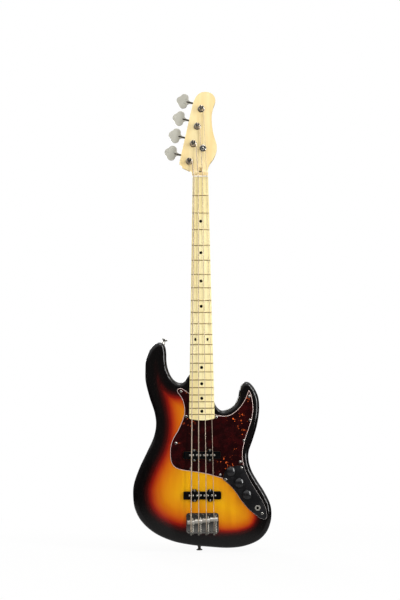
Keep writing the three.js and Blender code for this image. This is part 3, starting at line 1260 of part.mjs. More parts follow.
function makeBridgePlate(group) {
  const centerZ = (BRIDGE_TOP_Z + BRIDGE_BOTTOM_Z) / 2;
  const outline = roundedRectangle(0, centerZ, BRIDGE_WIDTH, BRIDGE_LENGTH, BRIDGE_CORNER);
  const half = BRIDGE_WIDTH / 2;
  const innerHalf = half - BRIDGE_WALL;
  const wallTop = BRIDGE_BOTTOM_Z + BRIDGE_WALL_LENGTH;
  const keep = block(-half, half, -BRIDGE_LIP_HEIGHT, 0, BRIDGE_BOTTOM_Z, wallTop);
  const innerBottom = LIP_FRONT_Z;
  const innerTop = BRIDGE_TOP_Z + OVERRUN;
  const innerShape = roundedRectangle(
    0, (innerBottom + innerTop) / 2, 2 * innerHalf, innerTop - innerBottom, BRIDGE_CORNER - BRIDGE_WALL,
  );
  const inner = slab(innerShape, -BRIDGE_LIP_HEIGHT - OVERRUN, OVERRUN);
  const walls = cut(slab(outline, -BRIDGE_WALL_HEIGHT, BRIDGE_BACK).intersect(keep), inner);
  const lipKeep = block(-half, half, -BRIDGE_LIP_HEIGHT, 0, BRIDGE_BOTTOM_Z, LIP_FRONT_Z);
  const lip = slab(outline, -BRIDGE_LIP_HEIGHT, BRIDGE_BACK).intersect(lipKeep);
  const holes = PLANS.flatMap(({ bridgeX, radius }) => {
    const stringHole = radius + 2 * SEAT_GAP;
    const screwHole = INTONATION_RADIUS + RUNNING_GAP;
    const low = BRIDGE_BOTTOM_Z - OVERRUN;
    const high = LIP_FRONT_Z + BRIDGE_LIP;
    return [
      turnedUp(
        [[0, low], [stringHole, low], [stringHole, high], [0, high]],
        bridgeX, -STRING_HOLE_HEIGHT, SMALL_SIDES,
      ),
      turnedUp(
        [[0, low], [screwHole, low], [screwHole, high], [0, high]],
        bridgeX + INTONATION_OFFSET, -INTONATION_HEIGHT, SMALL_SIDES,
      ),
    ];
  });
  const base = slab(outline, BRIDGE_BASE_FRONT, BRIDGE_BACK);
  mesh('bridge_plate', cut(join(base, walls, lip), ...holes), FINISHES.chrome, group);
}

function makeSaddle(plan, group) {
  const { bridgeX, saddleY, saddleZ, radius, name } = plan;
  const half = SADDLE_LENGTH / 2;
  const barrel = turnedAcross([
    [0, bridgeX - half], [SADDLE_RADIUS, bridgeX - half],
    [SADDLE_RADIUS, bridgeX + half], [0, bridgeX + half],
  ], saddleY, saddleZ);
  const grooveHalf = radius + SEAT_GAP;
  const grooveFloor = saddleY - SADDLE_RADIUS + SADDLE_GROOVE;
  const groove = block(
    bridgeX - grooveHalf, bridgeX + grooveHalf, grooveFloor - OVERRUN, grooveFloor,
    saddleZ - SADDLE_RADIUS, saddleZ + SADDLE_RADIUS,
  );
  const bore = INTONATION_RADIUS + RUNNING_GAP;
  const low = saddleZ - 2 * SADDLE_RADIUS;
  const high = saddleZ + 2 * SADDLE_RADIUS;
  const screwBore = turnedUp(
    [[0, low], [bore, low], [bore, high], [0, high]],
    bridgeX + INTONATION_OFFSET, -INTONATION_HEIGHT, SMALL_SIDES,
  );
  const screws = [-SADDLE_SCREW_OFFSET, SADDLE_SCREW_OFFSET].map((offset) => {
    const front = saddleY - SADDLE_SCREW_TOP;
    const back = BRIDGE_BASE_FRONT - SEAT_GAP;
    return pin(SADDLE_SCREW_RADIUS, front, back, bridgeX + offset, saddleZ, SMALL_SIDES);
  });
  mesh(`saddle_${name}`, join(cut(barrel, groove, screwBore), ...screws), FINISHES.chrome, group);
}

function makeIntonation(plan, group) {
  const x = plan.bridgeX + INTONATION_OFFSET;
  const headTop = BRIDGE_BOTTOM_Z - SEAT_GAP;
  const headBottom = headTop - INTONATION_HEAD_LENGTH;
  const end = plan.saddleZ + SADDLE_RADIUS + INTONATION_PAST_SADDLE;
  const screw = turnedUp([
    [0, headBottom], [INTONATION_HEAD_RADIUS, headBottom + INTONATION_HEAD_LENGTH / 3],
    [INTONATION_HEAD_RADIUS, headTop], [INTONATION_RADIUS, headTop], [INTONATION_RADIUS, end], [0, end],
  ], x, -INTONATION_HEIGHT, SMALL_SIDES);
  mesh(`intonation_screw_${plan.name}`, screw, FINISHES.steel, group);

  const meanRadius = INTONATION_RADIUS + RUNNING_GAP + SPRING_WIRE_RADIUS;
  const bottom = LIP_FRONT_Z + SEAT_GAP + SPRING_WIRE_RADIUS;
  const top = plan.saddleZ - SADDLE_RADIUS - SEAT_GAP - SPRING_WIRE_RADIUS;
  const steps = SPRING_CURLS * SPRING_STEPS;
  const points = Array.from({ length: steps + 1 }, (unused, step) => {
    const angle = (2 * Math.PI * step) / SPRING_STEPS;
    const z = bottom + ((top - bottom) * step) / steps;
    const y = meanRadius * Math.sin(angle) - INTONATION_HEIGHT;
    return new THREE.Vector3(x + meanRadius * Math.cos(angle), y, z);
  });
  const gap = leastTurnGap(points, SPRING_WIRE_RADIUS, SPRING_STEPS);
  console.log(`intonation_spring_${plan.name}: least gap between curls ${gap.toFixed(2)} mm`);
  const radii = points.map(() => SPRING_WIRE_RADIUS);
  mesh(`intonation_spring_${plan.name}`, tube(points, radii, SPRING_SIDES), FINISHES.steel, group);
}

// A string's path: ball, lip hole, saddle, nut, retainer where it has one, and the wraps on its post
function stringPath(plan) {
  const points = [];
  const radii = [];
  const add = (x, y, z, radius = plan.radius) => {
    points.push(new THREE.Vector3(x, y, z));
    radii.push(radius);
  };
  const ballTop = BRIDGE_BOTTOM_Z - SEAT_GAP;
  add(plan.bridgeX, -STRING_HOLE_HEIGHT, ballTop - BALL_LENGTH, BALL_RADIUS);
  add(plan.bridgeX, -STRING_HOLE_HEIGHT, ballTop, BALL_RADIUS);
  add(plan.bridgeX, -STRING_HOLE_HEIGHT, ballTop + SEAT_GAP / 3);
  add(plan.bridgeX, -STRING_HOLE_HEIGHT, LIP_FRONT_Z);

  const rideRadius = SADDLE_RADIUS - SADDLE_GROOVE + SEAT_GAP + plan.radius;
  const saddle = new THREE.Vector2(plan.saddleZ, plan.saddleY);
  const leave = tangentPoint(saddle, rideRadius, new THREE.Vector2(LIP_FRONT_Z, -STRING_HOLE_HEIGHT), 1);
  const arrive = tangentPoint(saddle, rideRadius, new THREE.Vector2(0, plan.nutY), -1);
  const angles = [leave, arrive].map((point) => new THREE.Vector2().subVectors(point, saddle).angle());
  for (let i = 0; i <= SADDLE_ARC_STEPS; i += 1) {
    const angle = angles[0] + ((angles[1] - angles[0]) * i) / SADDLE_ARC_STEPS;
    const z = saddle.x + rideRadius * Math.cos(angle);
    add(plan.bridgeX, saddle.y + rideRadius * Math.sin(angle), z);
  }
  add(plan.nutX, plan.nutY, 0);
  add(plan.nutX, plan.nutY, NUT_LENGTH);

  let last = points[points.length - 1];
  if (plan.order >= STRINGS.length / 2) {
    const passY = HEAD_FACE - RETAINER_STRING_HEIGHT + SEAT_GAP + plan.radius;
    const share = RETAINER_Z / plan.postZ;
    const wrapX = plan.postX + POST_WAIST_RADIUS + 2 * plan.radius;
    const passX = plan.nutX + (wrapX - plan.nutX) * share;
    add(passX, passY, RETAINER_Z - RETAINER_STEM_RADIUS);
    add(passX, passY, RETAINER_Z + RETAINER_STEM_RADIUS);
    last = points[points.length - 1];
  }
  const wrapRadius = POST_WAIST_RADIUS + SEAT_GAP + plan.radius;
  const post = new THREE.Vector2(plan.postX, plan.postZ);
  const touch = tangentPoint(post, wrapRadius, new THREE.Vector2(last.x, last.z), 1);
  const startAngle = new THREE.Vector2().subVectors(touch, post).angle();
  const waistBottom = HEAD_FACE - BUSHING_FLANGE_THICKNESS - 2 * SEAT_GAP;
  const low = waistBottom - 2 * SEAT_GAP - plan.radius;
  const pitch = 2 * plan.radius + WRAP_GAP;
  const loopStart = points.length;
  const slotAngle = Math.PI / 2 - TUNER_LINE_ANGLE;
  const lastPart = ((slotAngle - startAngle) * LOOP_STEPS) / (2 * Math.PI);
  const steps = plan.wraps * LOOP_STEPS + Math.round(lastPart);
  const turn = (2 * Math.PI * plan.wraps + slotAngle - startAngle) / steps;
  for (let step = 0; step <= steps; step += 1) {
    const angle = startAngle + turn * step;
    const y = low - (pitch * turn * step) / (2 * Math.PI);
    add(post.x + wrapRadius * Math.cos(angle), y, post.y + wrapRadius * Math.sin(angle));
  }
  const slotY = HEAD_FACE - POST_HEIGHT + POST_SLOT_DEPTH - SEAT_GAP - plan.radius;
  for (const reach of [wrapRadius, SEAT_GAP]) {
    add(post.x + reach * Math.cos(slotAngle), slotY, post.y + reach * Math.sin(slotAngle));
  }
  const gap = leastTurnGap(points.slice(loopStart), plan.radius, LOOP_STEPS);
  console.log(`string_${plan.name}: least gap between wraps ${gap.toFixed(2)} mm`);
  return { points, radii };
}

function makeString(plan, group) {
  const { points, radii } = stringPath(plan);
  mesh(`string_${plan.name}`, tube(points, radii, STRING_SIDES), FINISHES.nickelWire, group);
}

// Neck plate, bolts and strap buttons
function makeNeckPlate(group) {
  const { centerZ, places } = boltPlaces();
  const front = BODY_DEPTH + SEAT_GAP;
  const back = front + NECK_PLATE_THICKNESS;
  const outline = roundedRectangle(0, centerZ, NECK_PLATE_WIDTH, NECK_PLATE_HEIGHT, NECK_PLATE_CORNER);
  const holes = places.map(({ x, z }) => {
    return pin(BOLT_RADIUS + RUNNING_GAP, front - OVERRUN, back + OVERRUN, x, z, SMALL_SIDES);
  });
  mesh('neck_plate', cut(slab(outline, front, back, ROUT_STEPS), ...holes), FINISHES.chrome, group);
  places.forEach(({ x, z }, i) => {
    const tip = HEEL_BACK - BOLT_INTO_NECK;
    const headFront = back + SEAT_GAP;
    const bolt = turned([
      [0, tip], [BOLT_RADIUS, tip + BOLT_RADIUS],
      [BOLT_RADIUS, headFront], [BOLT_HEAD_RADIUS, headFront],
      [BOLT_HEAD_RADIUS, headFront + BOLT_HEAD_HEIGHT / 3],
      [BOLT_HEAD_RADIUS / 2, headFront + BOLT_HEAD_HEIGHT], [0, headFront + BOLT_HEAD_HEIGHT],
    ], x, z, SMALL_SIDES);
    mesh(`neck_bolt_${i + 1}`, bolt, FINISHES.chrome, group);
  });
}

function makeButton(name, share, tilt, group) {
  const base = SEAT_GAP - BUTTON_SEAT_DEPTH;
  const flangeBottom = BUTTON_HEIGHT - BUTTON_FLANGE_THICKNESS;
  const shape = turnedUp([
    [0, base - BUTTON_SCREW_LENGTH], [BUTTON_SCREW_RADIUS, base - BUTTON_SCREW_LENGTH + BUTTON_SCREW_RADIUS],
    [BUTTON_SCREW_RADIUS, base], [BUTTON_BASE_RADIUS, base], [BUTTON_WAIST_RADIUS, BUTTON_HEIGHT / 3],
    [BUTTON_WAIST_RADIUS, flangeBottom - BUTTON_FLANGE_THICKNESS / 2],
    [BUTTON_FLANGE_RADIUS, flangeBottom], [BUTTON_FLANGE_RADIUS, BUTTON_HEIGHT],
    [BUTTON_RECESS_RADIUS, BUTTON_HEIGHT], [BUTTON_RECESS_RADIUS, BUTTON_HEIGHT - BUTTON_RECESS_DEPTH],
    [0, BUTTON_HEIGHT - BUTTON_RECESS_DEPTH],
  ], 0, 0);
  mesh(name, placeTurned(shape, tilt, onBody(share)), FINISHES.chrome, group);
}

// Assembly
function buildBass() {
  const bass = new THREE.Group();
  makeBody(bass);
  makeNeck(bass);
  makeFingerboard(bass);
  makeNut(bass);
  makeTrussRod(bass);
  makeRetainer(bass);
  makeGuard(bass);
  makeControlPlate(bass);
  for (const [name, share] of Object.entries(KNOB_SHARES)) {
    makeKnob(name, share, bass);
    makePot(name, share, bass);
  }
  makeJack(bass);
  for (const place of Object.keys(PICKUP_FROM_BRIDGE)) {
    makePickup(place, bass);
  }
  makeBridgePlate(bass);
  for (const plan of PLANS) {
    makeTuner(plan, bass);
    makeSaddle(plan, bass);
    makeIntonation(plan, bass);
    makeString(plan, bass);
  }
  makeNeckPlate(bass);
  makeButton('horn_strap_button', HORN_BUTTON_SHARE, HORN_BUTTON_TILT, bass);
  makeButton('end_strap_button', END_BUTTON_SHARE, Math.PI, bass);
  return bass;
}

const bass = buildBass();
export default bass;
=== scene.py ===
import logging
import math
from dataclasses import dataclass, field
from enum import Enum
from typing import Callable, Sequence

import bmesh
import bpy
import numpy as np
from mathutils import Matrix, Vector


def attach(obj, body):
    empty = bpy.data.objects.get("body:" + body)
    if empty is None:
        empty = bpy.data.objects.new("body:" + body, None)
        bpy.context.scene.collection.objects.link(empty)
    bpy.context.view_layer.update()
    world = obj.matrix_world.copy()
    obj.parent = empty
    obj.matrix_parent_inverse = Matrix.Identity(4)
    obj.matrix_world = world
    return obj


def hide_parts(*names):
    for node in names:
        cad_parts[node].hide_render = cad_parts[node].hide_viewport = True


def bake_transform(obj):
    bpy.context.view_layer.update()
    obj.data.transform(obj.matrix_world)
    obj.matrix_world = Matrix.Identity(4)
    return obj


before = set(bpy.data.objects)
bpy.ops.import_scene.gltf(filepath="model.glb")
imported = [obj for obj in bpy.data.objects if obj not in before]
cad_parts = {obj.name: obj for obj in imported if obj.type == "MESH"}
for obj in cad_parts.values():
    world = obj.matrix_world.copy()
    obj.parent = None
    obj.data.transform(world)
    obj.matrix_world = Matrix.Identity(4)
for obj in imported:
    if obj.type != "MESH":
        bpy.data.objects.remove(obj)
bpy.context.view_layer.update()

LOG = logging.getLogger("bass_guitar")
MM = 0.001
TURN = 2 * math.pi
ORIGIN = (0, 0, 0)
Pair = tuple[float, float]
Point = tuple[float, float, float]
Ring = list[Point]
Piece = bpy.types.Object
Socket = bpy.types.NodeSocket


class Way(Enum):
    """The line that a turned piece turns round."""

    ACROSS = 0
    DEPTH = 1
    ALONG = 2


# Modelling


def deselect() -> None:
    """Leaves edit mode and deselects everything, the CAD nodes included."""
    if bpy.context.object and bpy.context.object.mode != "OBJECT":
        bpy.ops.object.mode_set(mode="OBJECT")
    bpy.ops.object.select_all(action="DESELECT")


def take(piece: Piece) -> None:
    """Selects one piece alone and makes it active."""
    deselect()
    piece.select_set(True)
    bpy.context.view_layer.objects.active = piece


def newest(vertex: bmesh.types.BMVert) -> int:
    """The index of the selected vertex that was extruded from this one."""
    return next(edge.other_vert(vertex).index for edge in vertex.link_edges if edge.other_vert(vertex).select)


def loft(name: str, rings: Sequence[Ring]) -> Piece:
    """Extrudes a filled circle ring by ring through the rings given.

    Args:
        name: the piece's name.
        rings: rings with the same number of points, in millimetres; both ends are closed.
    Returns:
        The closed piece, its normals outwards.
    """
    deselect()
    bpy.ops.mesh.primitive_circle_add(vertices=len(rings[0]), radius=MM, fill_type="NGON")
    piece = bpy.context.object
    piece.name = piece.data.name = name
    bpy.ops.object.mode_set(mode="EDIT")
    bpy.ops.mesh.select_mode(type="VERT")
    bpy.ops.mesh.select_all(action="SELECT")
    order = list(range(len(rings[0])))
    for number, ring in enumerate(rings):
        if number:
            bpy.ops.mesh.extrude_region()
        shape = bmesh.from_edit_mesh(piece.data)
        shape.verts.ensure_lookup_table()
        if number:
            shape.verts.index_update()
            order = [newest(shape.verts[i]) for i in order]
        for i, point in zip(order, ring):
            shape.verts[i].co = Vector(point) * MM
        bmesh.update_edit_mesh(piece.data)
    bpy.ops.mesh.select_all(action="SELECT")
    bpy.ops.mesh.normals_make_consistent(inside=False)
    bpy.ops.object.mode_set(mode="OBJECT")
    return piece


def plate(name: str, outline: Sequence[Pair], front: float, back: float) -> Piece:
    """A slab with its outline in X and Z, between two depths."""
    return loft(name, [[(x, y, z) for x, z in outline] for y in (front, back)])


def block(name: str, low: Sequence[float], high: Sequence[float]) -> Piece:
    """A box between two corners."""
    outline = [(low[0], low[2]), (high[0], low[2]), (high[0], high[2]), (low[0], high[2])]
    return plate(name, outline, low[1], high[1])


def turned(name: str, profile: Sequence[Pair], at: Sequence[float] = ORIGIN, way: Way = Way.DEPTH,
           sides: int = 40) -> Piece:
    """A turned piece.

    Args:
        name: the piece's name.
        profile: pairs of radius and distance along the line.
        at: the point that the distances start from.
        way: the line that it turns round.
        sides: points round a ring.
    Returns:
        The closed piece.
    """
    first, second = [axis for axis in range(3) if axis != way.value]
    rings = []
    for radius, along in profile:
        ring = []
        for i in range(sides):
            angle = TURN * i / sides
            point = list(at)
            point[way.value] += along
            point[first] += radius * math.cos(angle)
            point[second] += radius * math.sin(angle)
            ring.append(tuple(point))
        rings.append(ring)
    return loft(name, rings)


def bore(radius: float, low: float, high: float, at: Sequence[float] = ORIGIN, way: Way = Way.DEPTH,
         sides: int = 40) -> Piece:
    """A cutter for a round hole, between two distances along its line."""
    return turned("bore", [(radius, low), (radius, high)], at, way, sides)


def cross(half: float, reach: float, low: float, high: float, at: Sequence[float] = ORIGIN,
          way: Way = Way.DEPTH) -> list[Piece]:
    """The cutters for a cross recess.

    Args:
        half: half the width of a slot.
        reach: half its length.
        low: where it starts along its line.
        high: where it ends.
        at: the point that the distances start from.
        way: the line that it is sunk along.
    Returns:
        The two slots.
    """
    slots = []
    for a, b in ((half, reach), (reach, half)):
        spans = [(-a, a), (-b, b)]
        spans.insert(way.value, (low, high))
        ends = [[start + span[end] for start, span in zip(at, spans)] for end in (0, 1)]
        slots.append(block("slot", *ends))
    return slots


def tube(name: str, path: Sequence[Sequence[float]], radius: float, sides: int = 12) -> Piece:
    """A round bar along a path, with how far each ring lies along it kept as an attribute."""
    points = [Vector(p) for p in path]
    normal, rings, along, run = Vector((1, 0, 0)), [], [], 0.0
    for i, point in enumerate(points):
        tangent = (points[min(i + 1, len(points) - 1)] - points[max(i - 1, 0)]).normalized()
        normal = (normal - tangent * normal.dot(tangent)).normalized()
        other = tangent.cross(normal)
        run += (point - points[max(i - 1, 0)]).length
        turns = [TURN * s / sides for s in range(sides)]
        rings.append([tuple(point + (normal * math.cos(t) + other * math.sin(t)) * radius) for t in turns])
        along += [run * MM] * sides
    piece = loft(name, rings)
    piece.data.attributes.new("along", "FLOAT", "POINT").data.foreach_set("value", along)
    return piece


def combine(piece: Piece, others: Sequence[Piece], operation: str = "DIFFERENCE") -> Piece:
    """Cuts, joins or trims a piece with others, which are used up."""
    for other in others:
        take(piece)
        bpy.ops.object.modifier_add(type="BOOLEAN")
        modifier = piece.modifiers[-1]
        modifier.operation, modifier.solver, modifier.object = operation, "EXACT", other
        bpy.ops.object.modifier_apply(modifier=modifier.name)
        bpy.data.objects.remove(other)
    return piece


def soften(piece: Piece, width: float, segments: int = 2, angle: float = 40) -> Piece:
    """Rounds every edge that is sharper than an angle."""
    take(piece)
    bpy.ops.object.modifier_add(type="BEVEL")
    modifier = piece.modifiers[-1]
    modifier.width, modifier.segments, modifier.angle_limit = width * MM, segments, math.radians(angle)
    modifier.limit_method = "ANGLE"
    bpy.ops.object.modifier_apply(modifier=modifier.name)
    return piece


def bevel_at(piece: Piece, depth: float, width: float, segments: int = 3,
             spared: Sequence[Pair] = ()) -> Piece:
    """Bevels the edges that lie at one depth.

    Args:
        piece: the piece to bevel.
        depth: the Y of the edges.
        width: how far the bevel reaches.
        segments: 1 for a chamfer, more for a round.
        spared: points in X and Z; an edge between two of them stays sharp.
    Returns:
        The same piece.
    """
    take(piece)
    bpy.ops.object.mode_set(mode="EDIT")
    bpy.ops.mesh.select_mode(type="EDGE")
    bpy.ops.mesh.select_all(action="DESELECT")
    shape = bmesh.from_edit_mesh(piece.data)
    for edge in shape.edges:
        level = all(abs(v.co.y - depth * MM) < 1e-6 for v in edge.verts)
        kept = bool(spared) and all(
            min(math.hypot(v.co.x / MM - x, v.co.z / MM - z) for x, z in spared) < 0.05 for v in edge.verts
        )
        edge.select_set(level and not kept and edge.calc_face_angle(0) > 0.5)
    bmesh.update_edit_mesh(piece.data)
    bpy.ops.mesh.bevel(offset=width * MM, segments=segments, affect="EDGES")
    bpy.ops.object.mode_set(mode="OBJECT")
    return piece


def merge(name: str, pieces: Sequence[Piece]) -> Piece:
    """Joins pieces that touch nowhere into one object."""
    deselect()
    for piece in pieces:
        piece.select_set(True)
    bpy.context.view_layer.objects.active = pieces[0]
    bpy.ops.object.join()
    pieces[0].name = pieces[0].data.name = name
    return pieces[0]


def copy_of(piece: Piece, name: str, matrix: Matrix) -> Piece:
    """A copy with its own mesh, moved by a matrix in millimetres."""
    other = bpy.data.objects.new(name, piece.data.copy())
    other.data.name = name
    bpy.context.scene.collection.objects.link(other)
    scaled = matrix.copy()
    scaled.translation = matrix.translation * MM
    other.data.transform(scaled)
    return other


def present(piece: Piece, look: "Finish", nodes: Sequence[str] = (),
            body: str | None = "instrument", angle: float = 35) -> Piece:
    """Shades, dresses and seats a finished piece.

    Args:
        piece: the finished piece.
        look: its finish.
        nodes: CAD nodes that it stands for.
        body: the body that it rides on, or None to attach it to none.
        angle: edges sharper than this stay sharp.
    Returns:
        The same piece.
    """
    take(piece)
    bpy.ops.object.shade_smooth_by_angle(angle=math.radians(angle))
    bpy.ops.object.modifier_add(type="WEIGHTED_NORMAL")
    piece.modifiers[-1].keep_sharp = True
    bpy.ops.object.modifier_apply(modifier=piece.modifiers[-1].name)
    piece.data.materials.clear()
    piece.data.materials.append(look.material())
    if body:
        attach(piece, body)
    if nodes:
        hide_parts(*nodes)
    LOG.info("%s: %d faces", piece.name, len(piece.data.polygons))
    return piece


# Outlines


def between(first: np.ndarray, last: np.ndarray, leave: np.ndarray, arrive: np.ndarray, t: float) -> Pair:
    """The point at a share of the smooth way between two points, with the slopes that it has there."""
    at = (2 * t**3 - 3 * t**2 + 1) * first + (t**3 - 2 * t**2 + t) * leave
    at = at + (3 * t**2 - 2 * t**3) * last + (t**3 - t**2) * arrive
    return float(at[0]), float(at[1])


def open_curve(points: Sequence[Pair], steps: int) -> list[Pair]:
    """A smooth line through points, its ends included."""
    out = [points[0]]
    for i in range(len(points) - 1):
        p = [np.array(points[max(0, min(len(points) - 1, i + k))], float) for k in (-1, 0, 1, 2)]
        leave, arrive = (p[2] - p[0]) / 2, (p[3] - p[1]) / 2
        out += [between(p[1], p[2], leave, arrive, step / steps) for step in range(1, steps + 1)]
    return out


def closed_curve(points: Sequence[Pair], steps: int) -> list[Pair]:
    """A smooth loop through points, whose spacing sets its speed."""
    count, out = len(points), []
    for i in range(count):
        p = [np.array(points[(i + k) % count], float) for k in (-1, 0, 1, 2)]
        d = [max(float(np.linalg.norm(p[k + 1] - p[k])) ** 0.5, 1e-6) for k in range(3)]
        slopes = []
        for before, at, after, near, far in ((p[0], p[1], p[2], d[0], d[1]), (p[1], p[2], p[3], d[1], d[2])):
            slope = (at - before) / near - (after - before) / (near + far) + (after - at) / far
            slopes.append(slope * d[1])
        out += [between(p[1], p[2], *slopes, step / steps) for step in range(steps)]
    return out


def bend_shares(steps: int) -> list[Pair]:
    """The shares of a bend's two ends at even steps along it."""
    return [(1 - k / steps, k / steps) for k in range(steps + 1)]


def rounded(x: float, z: float, width: float, height: float, corner: float, steps: int = 6) -> list[Pair]:
    """A rectangle with round corners."""
    out = []
    for turn, (sx, sz) in enumerate([(1, -1), (1, 1), (-1, 1), (-1, -1)]):
        for step in range(steps + 1):
            angle = math.pi / 2 * (turn - 1 + step / steps)
            out.append((
                x + sx * (width / 2 - corner) + corner * math.cos(angle),
                z + sz * (height / 2 - corner) + corner * math.sin(angle),
            ))
    return out


def smoothstep(value: float, low: float, high: float) -> float:
    """0 below low, 1 above high, and smooth between."""
    t = min(1.0, max(0.0, (value - low) / (high - low)))
    return t * t * (3 - 2 * t)


def soft_max(value: float, blend: float) -> float:
    """The value where it is above 0 and 0 below, with a smooth start that is twice blend long."""
    if value <= -blend:
        return 0.0
    return value if value >= blend else (value + blend) ** 2 / (4 * blend)


def touching(center: Pair, radius: float, outside: Pair, side: int) -> float:
    """The angle on a circle where a line from outside touches it."""
    dx, dz = outside[0] - center[0], outside[1] - center[1]
    return math.atan2(dz, dx) + side * math.acos(radius / math.hypot(dx, dz))


@dataclass(frozen=True)
class Course:
    """One string, with where it crosses the nut, its saddle and its tuner."""

    name: str
    radius: float
    wraps: int
    order: int
    nut_x: float
    nut_y: float
    bridge_x: float
    saddle_y: float
    saddle_z: float
    post_x: float
    post_z: float


@dataclass(frozen=True)
class Layout:
    """The measures that several pieces share."""

    scale: float = 864
    body_width: float = 346
    body_length: float = 513
    body_depth: float = 44
    tail_share: float = 0.1423
    frets: int = 21
    nut_width: float = 40
    board_end_width: float = 64
    board_radius: float = 241
    board_rise: float = 8.9
    board_overhang: float = 15
    heel_inset: float = 10
    bolt_rise: float = 37
    bolt_spread: Pair = (19, 25.5)
    gap: float = 0.3
    head_face: float = 2.1
    pocket: float = 16.5
    nut_pitch: float = 10.9
    bridge_pitch: float = 19
    tuner_pitch: float = 47.6
    tuner_angle: float = math.radians(12.8)
    first_post: Pair = (-28.2, 43.5)

    @property
    def body_top(self) -> float:
        """The Z of the upper horn's tip."""
        return -self.scale - self.tail_share * self.body_length + self.body_length

    @property
    def board_end(self) -> float:
        """The Z where the fingerboard ends."""
        return self.fret_z(self.frets) - self.board_overhang

    @property
    def heel_end(self) -> float:
        """The Z where the neck ends in its pocket."""
        return self.board_end + self.heel_inset

    def on_body(self, share: Pair) -> Pair:
        """Turns shares of half the width and of the length into X and Z."""
        return share[0] * self.body_width / 2, self.body_top - share[1] * self.body_length

    def points(self, shares: Sequence[Pair]) -> list[Pair]:
        """Turns a row of such shares into points."""
        return [self.on_body(share) for share in shares]

    def fret_z(self, number: float) -> float:
        """The Z of a fret."""
        return -self.scale * (1 - 2 ** (-number / 12))

    def board_half(self, z: float) -> float:
        """Half the neck's width at a height."""
        return (self.nut_width + (self.board_end_width - self.nut_width) * z / self.board_end) / 2

    def board_drop(self, x: float) -> float:
        """How far the fingerboard's crown has fallen at a distance from its middle."""
        return self.board_radius - math.sqrt(self.board_radius**2 - x**2)

    def neck_outline(self, gap: float, top: float) -> list[Pair]:
        """The neck's outline from its heel up, with a gap round it."""
        low, corner = self.heel_end - gap, 5.0
        inner, out = self.board_half(low) + gap - corner, []
        for side, quarter in ((-1, 2), (1, 3)):
            for step in range(7):
                angle = math.pi / 2 * (quarter + step / 6)
                out.append((side * inner + corner * math.cos(angle), low + corner + corner * math.sin(angle)))
        half = self.board_half(top) + gap
        return [(-half, top), *out, (half, top)]

    def bolts(self) -> tuple[float, list[Pair]]:
        """The middle Z of the neck plate, and the bolts' places."""
        middle, (x, z) = self.heel_end + self.bolt_rise, self.bolt_spread
        return middle, [(side * x, middle + end * z) for end in (1, -1) for side in (-1, 1)]

    def courses(self) -> list[Course]:
        """The four strings, bass side first."""
        made = []
        rows = [
            ("e", 1.33, 1, 9.0, -8.0), ("a", 1.08, 2, 6.6, -9.5),
            ("d", 0.83, 2, 4.4, -9.5), ("g", 0.57, 2, 2.2, -8.0),
        ]
        for order, (name, radius, wraps, setback, saddle_y) in enumerate(rows):
            side, nut_x = order - 1.5, (order - 1.5) * self.nut_pitch
            above = self.board_rise + 1.6 + self.gap + radius
            made.append(Course(
                name=name, radius=radius, wraps=wraps, order=order, nut_x=nut_x,
                nut_y=self.board_drop(nut_x) - above, bridge_x=side * self.bridge_pitch, saddle_y=saddle_y,
                saddle_z=-self.scale - setback,
                post_x=self.first_post[0] + order * self.tuner_pitch * math.sin(self.tuner_angle),
                post_z=self.first_post[1] + order * self.tuner_pitch * math.cos(self.tuner_angle),
            ))
        return made


PLAN = Layout()


# Finishes


def rgb(text: str) -> tuple[float, float, float, float]:
    """A colour written as six hexadecimal digits, as the shader takes it."""
    parts = [int(text[i:i + 2], 16) / 255 for i in (0, 2, 4)]
    linear = [p / 12.92 if p <= 0.04045 else ((p + 0.055) / 1.055) ** 2.4 for p in parts]
    return (*linear, 1.0)


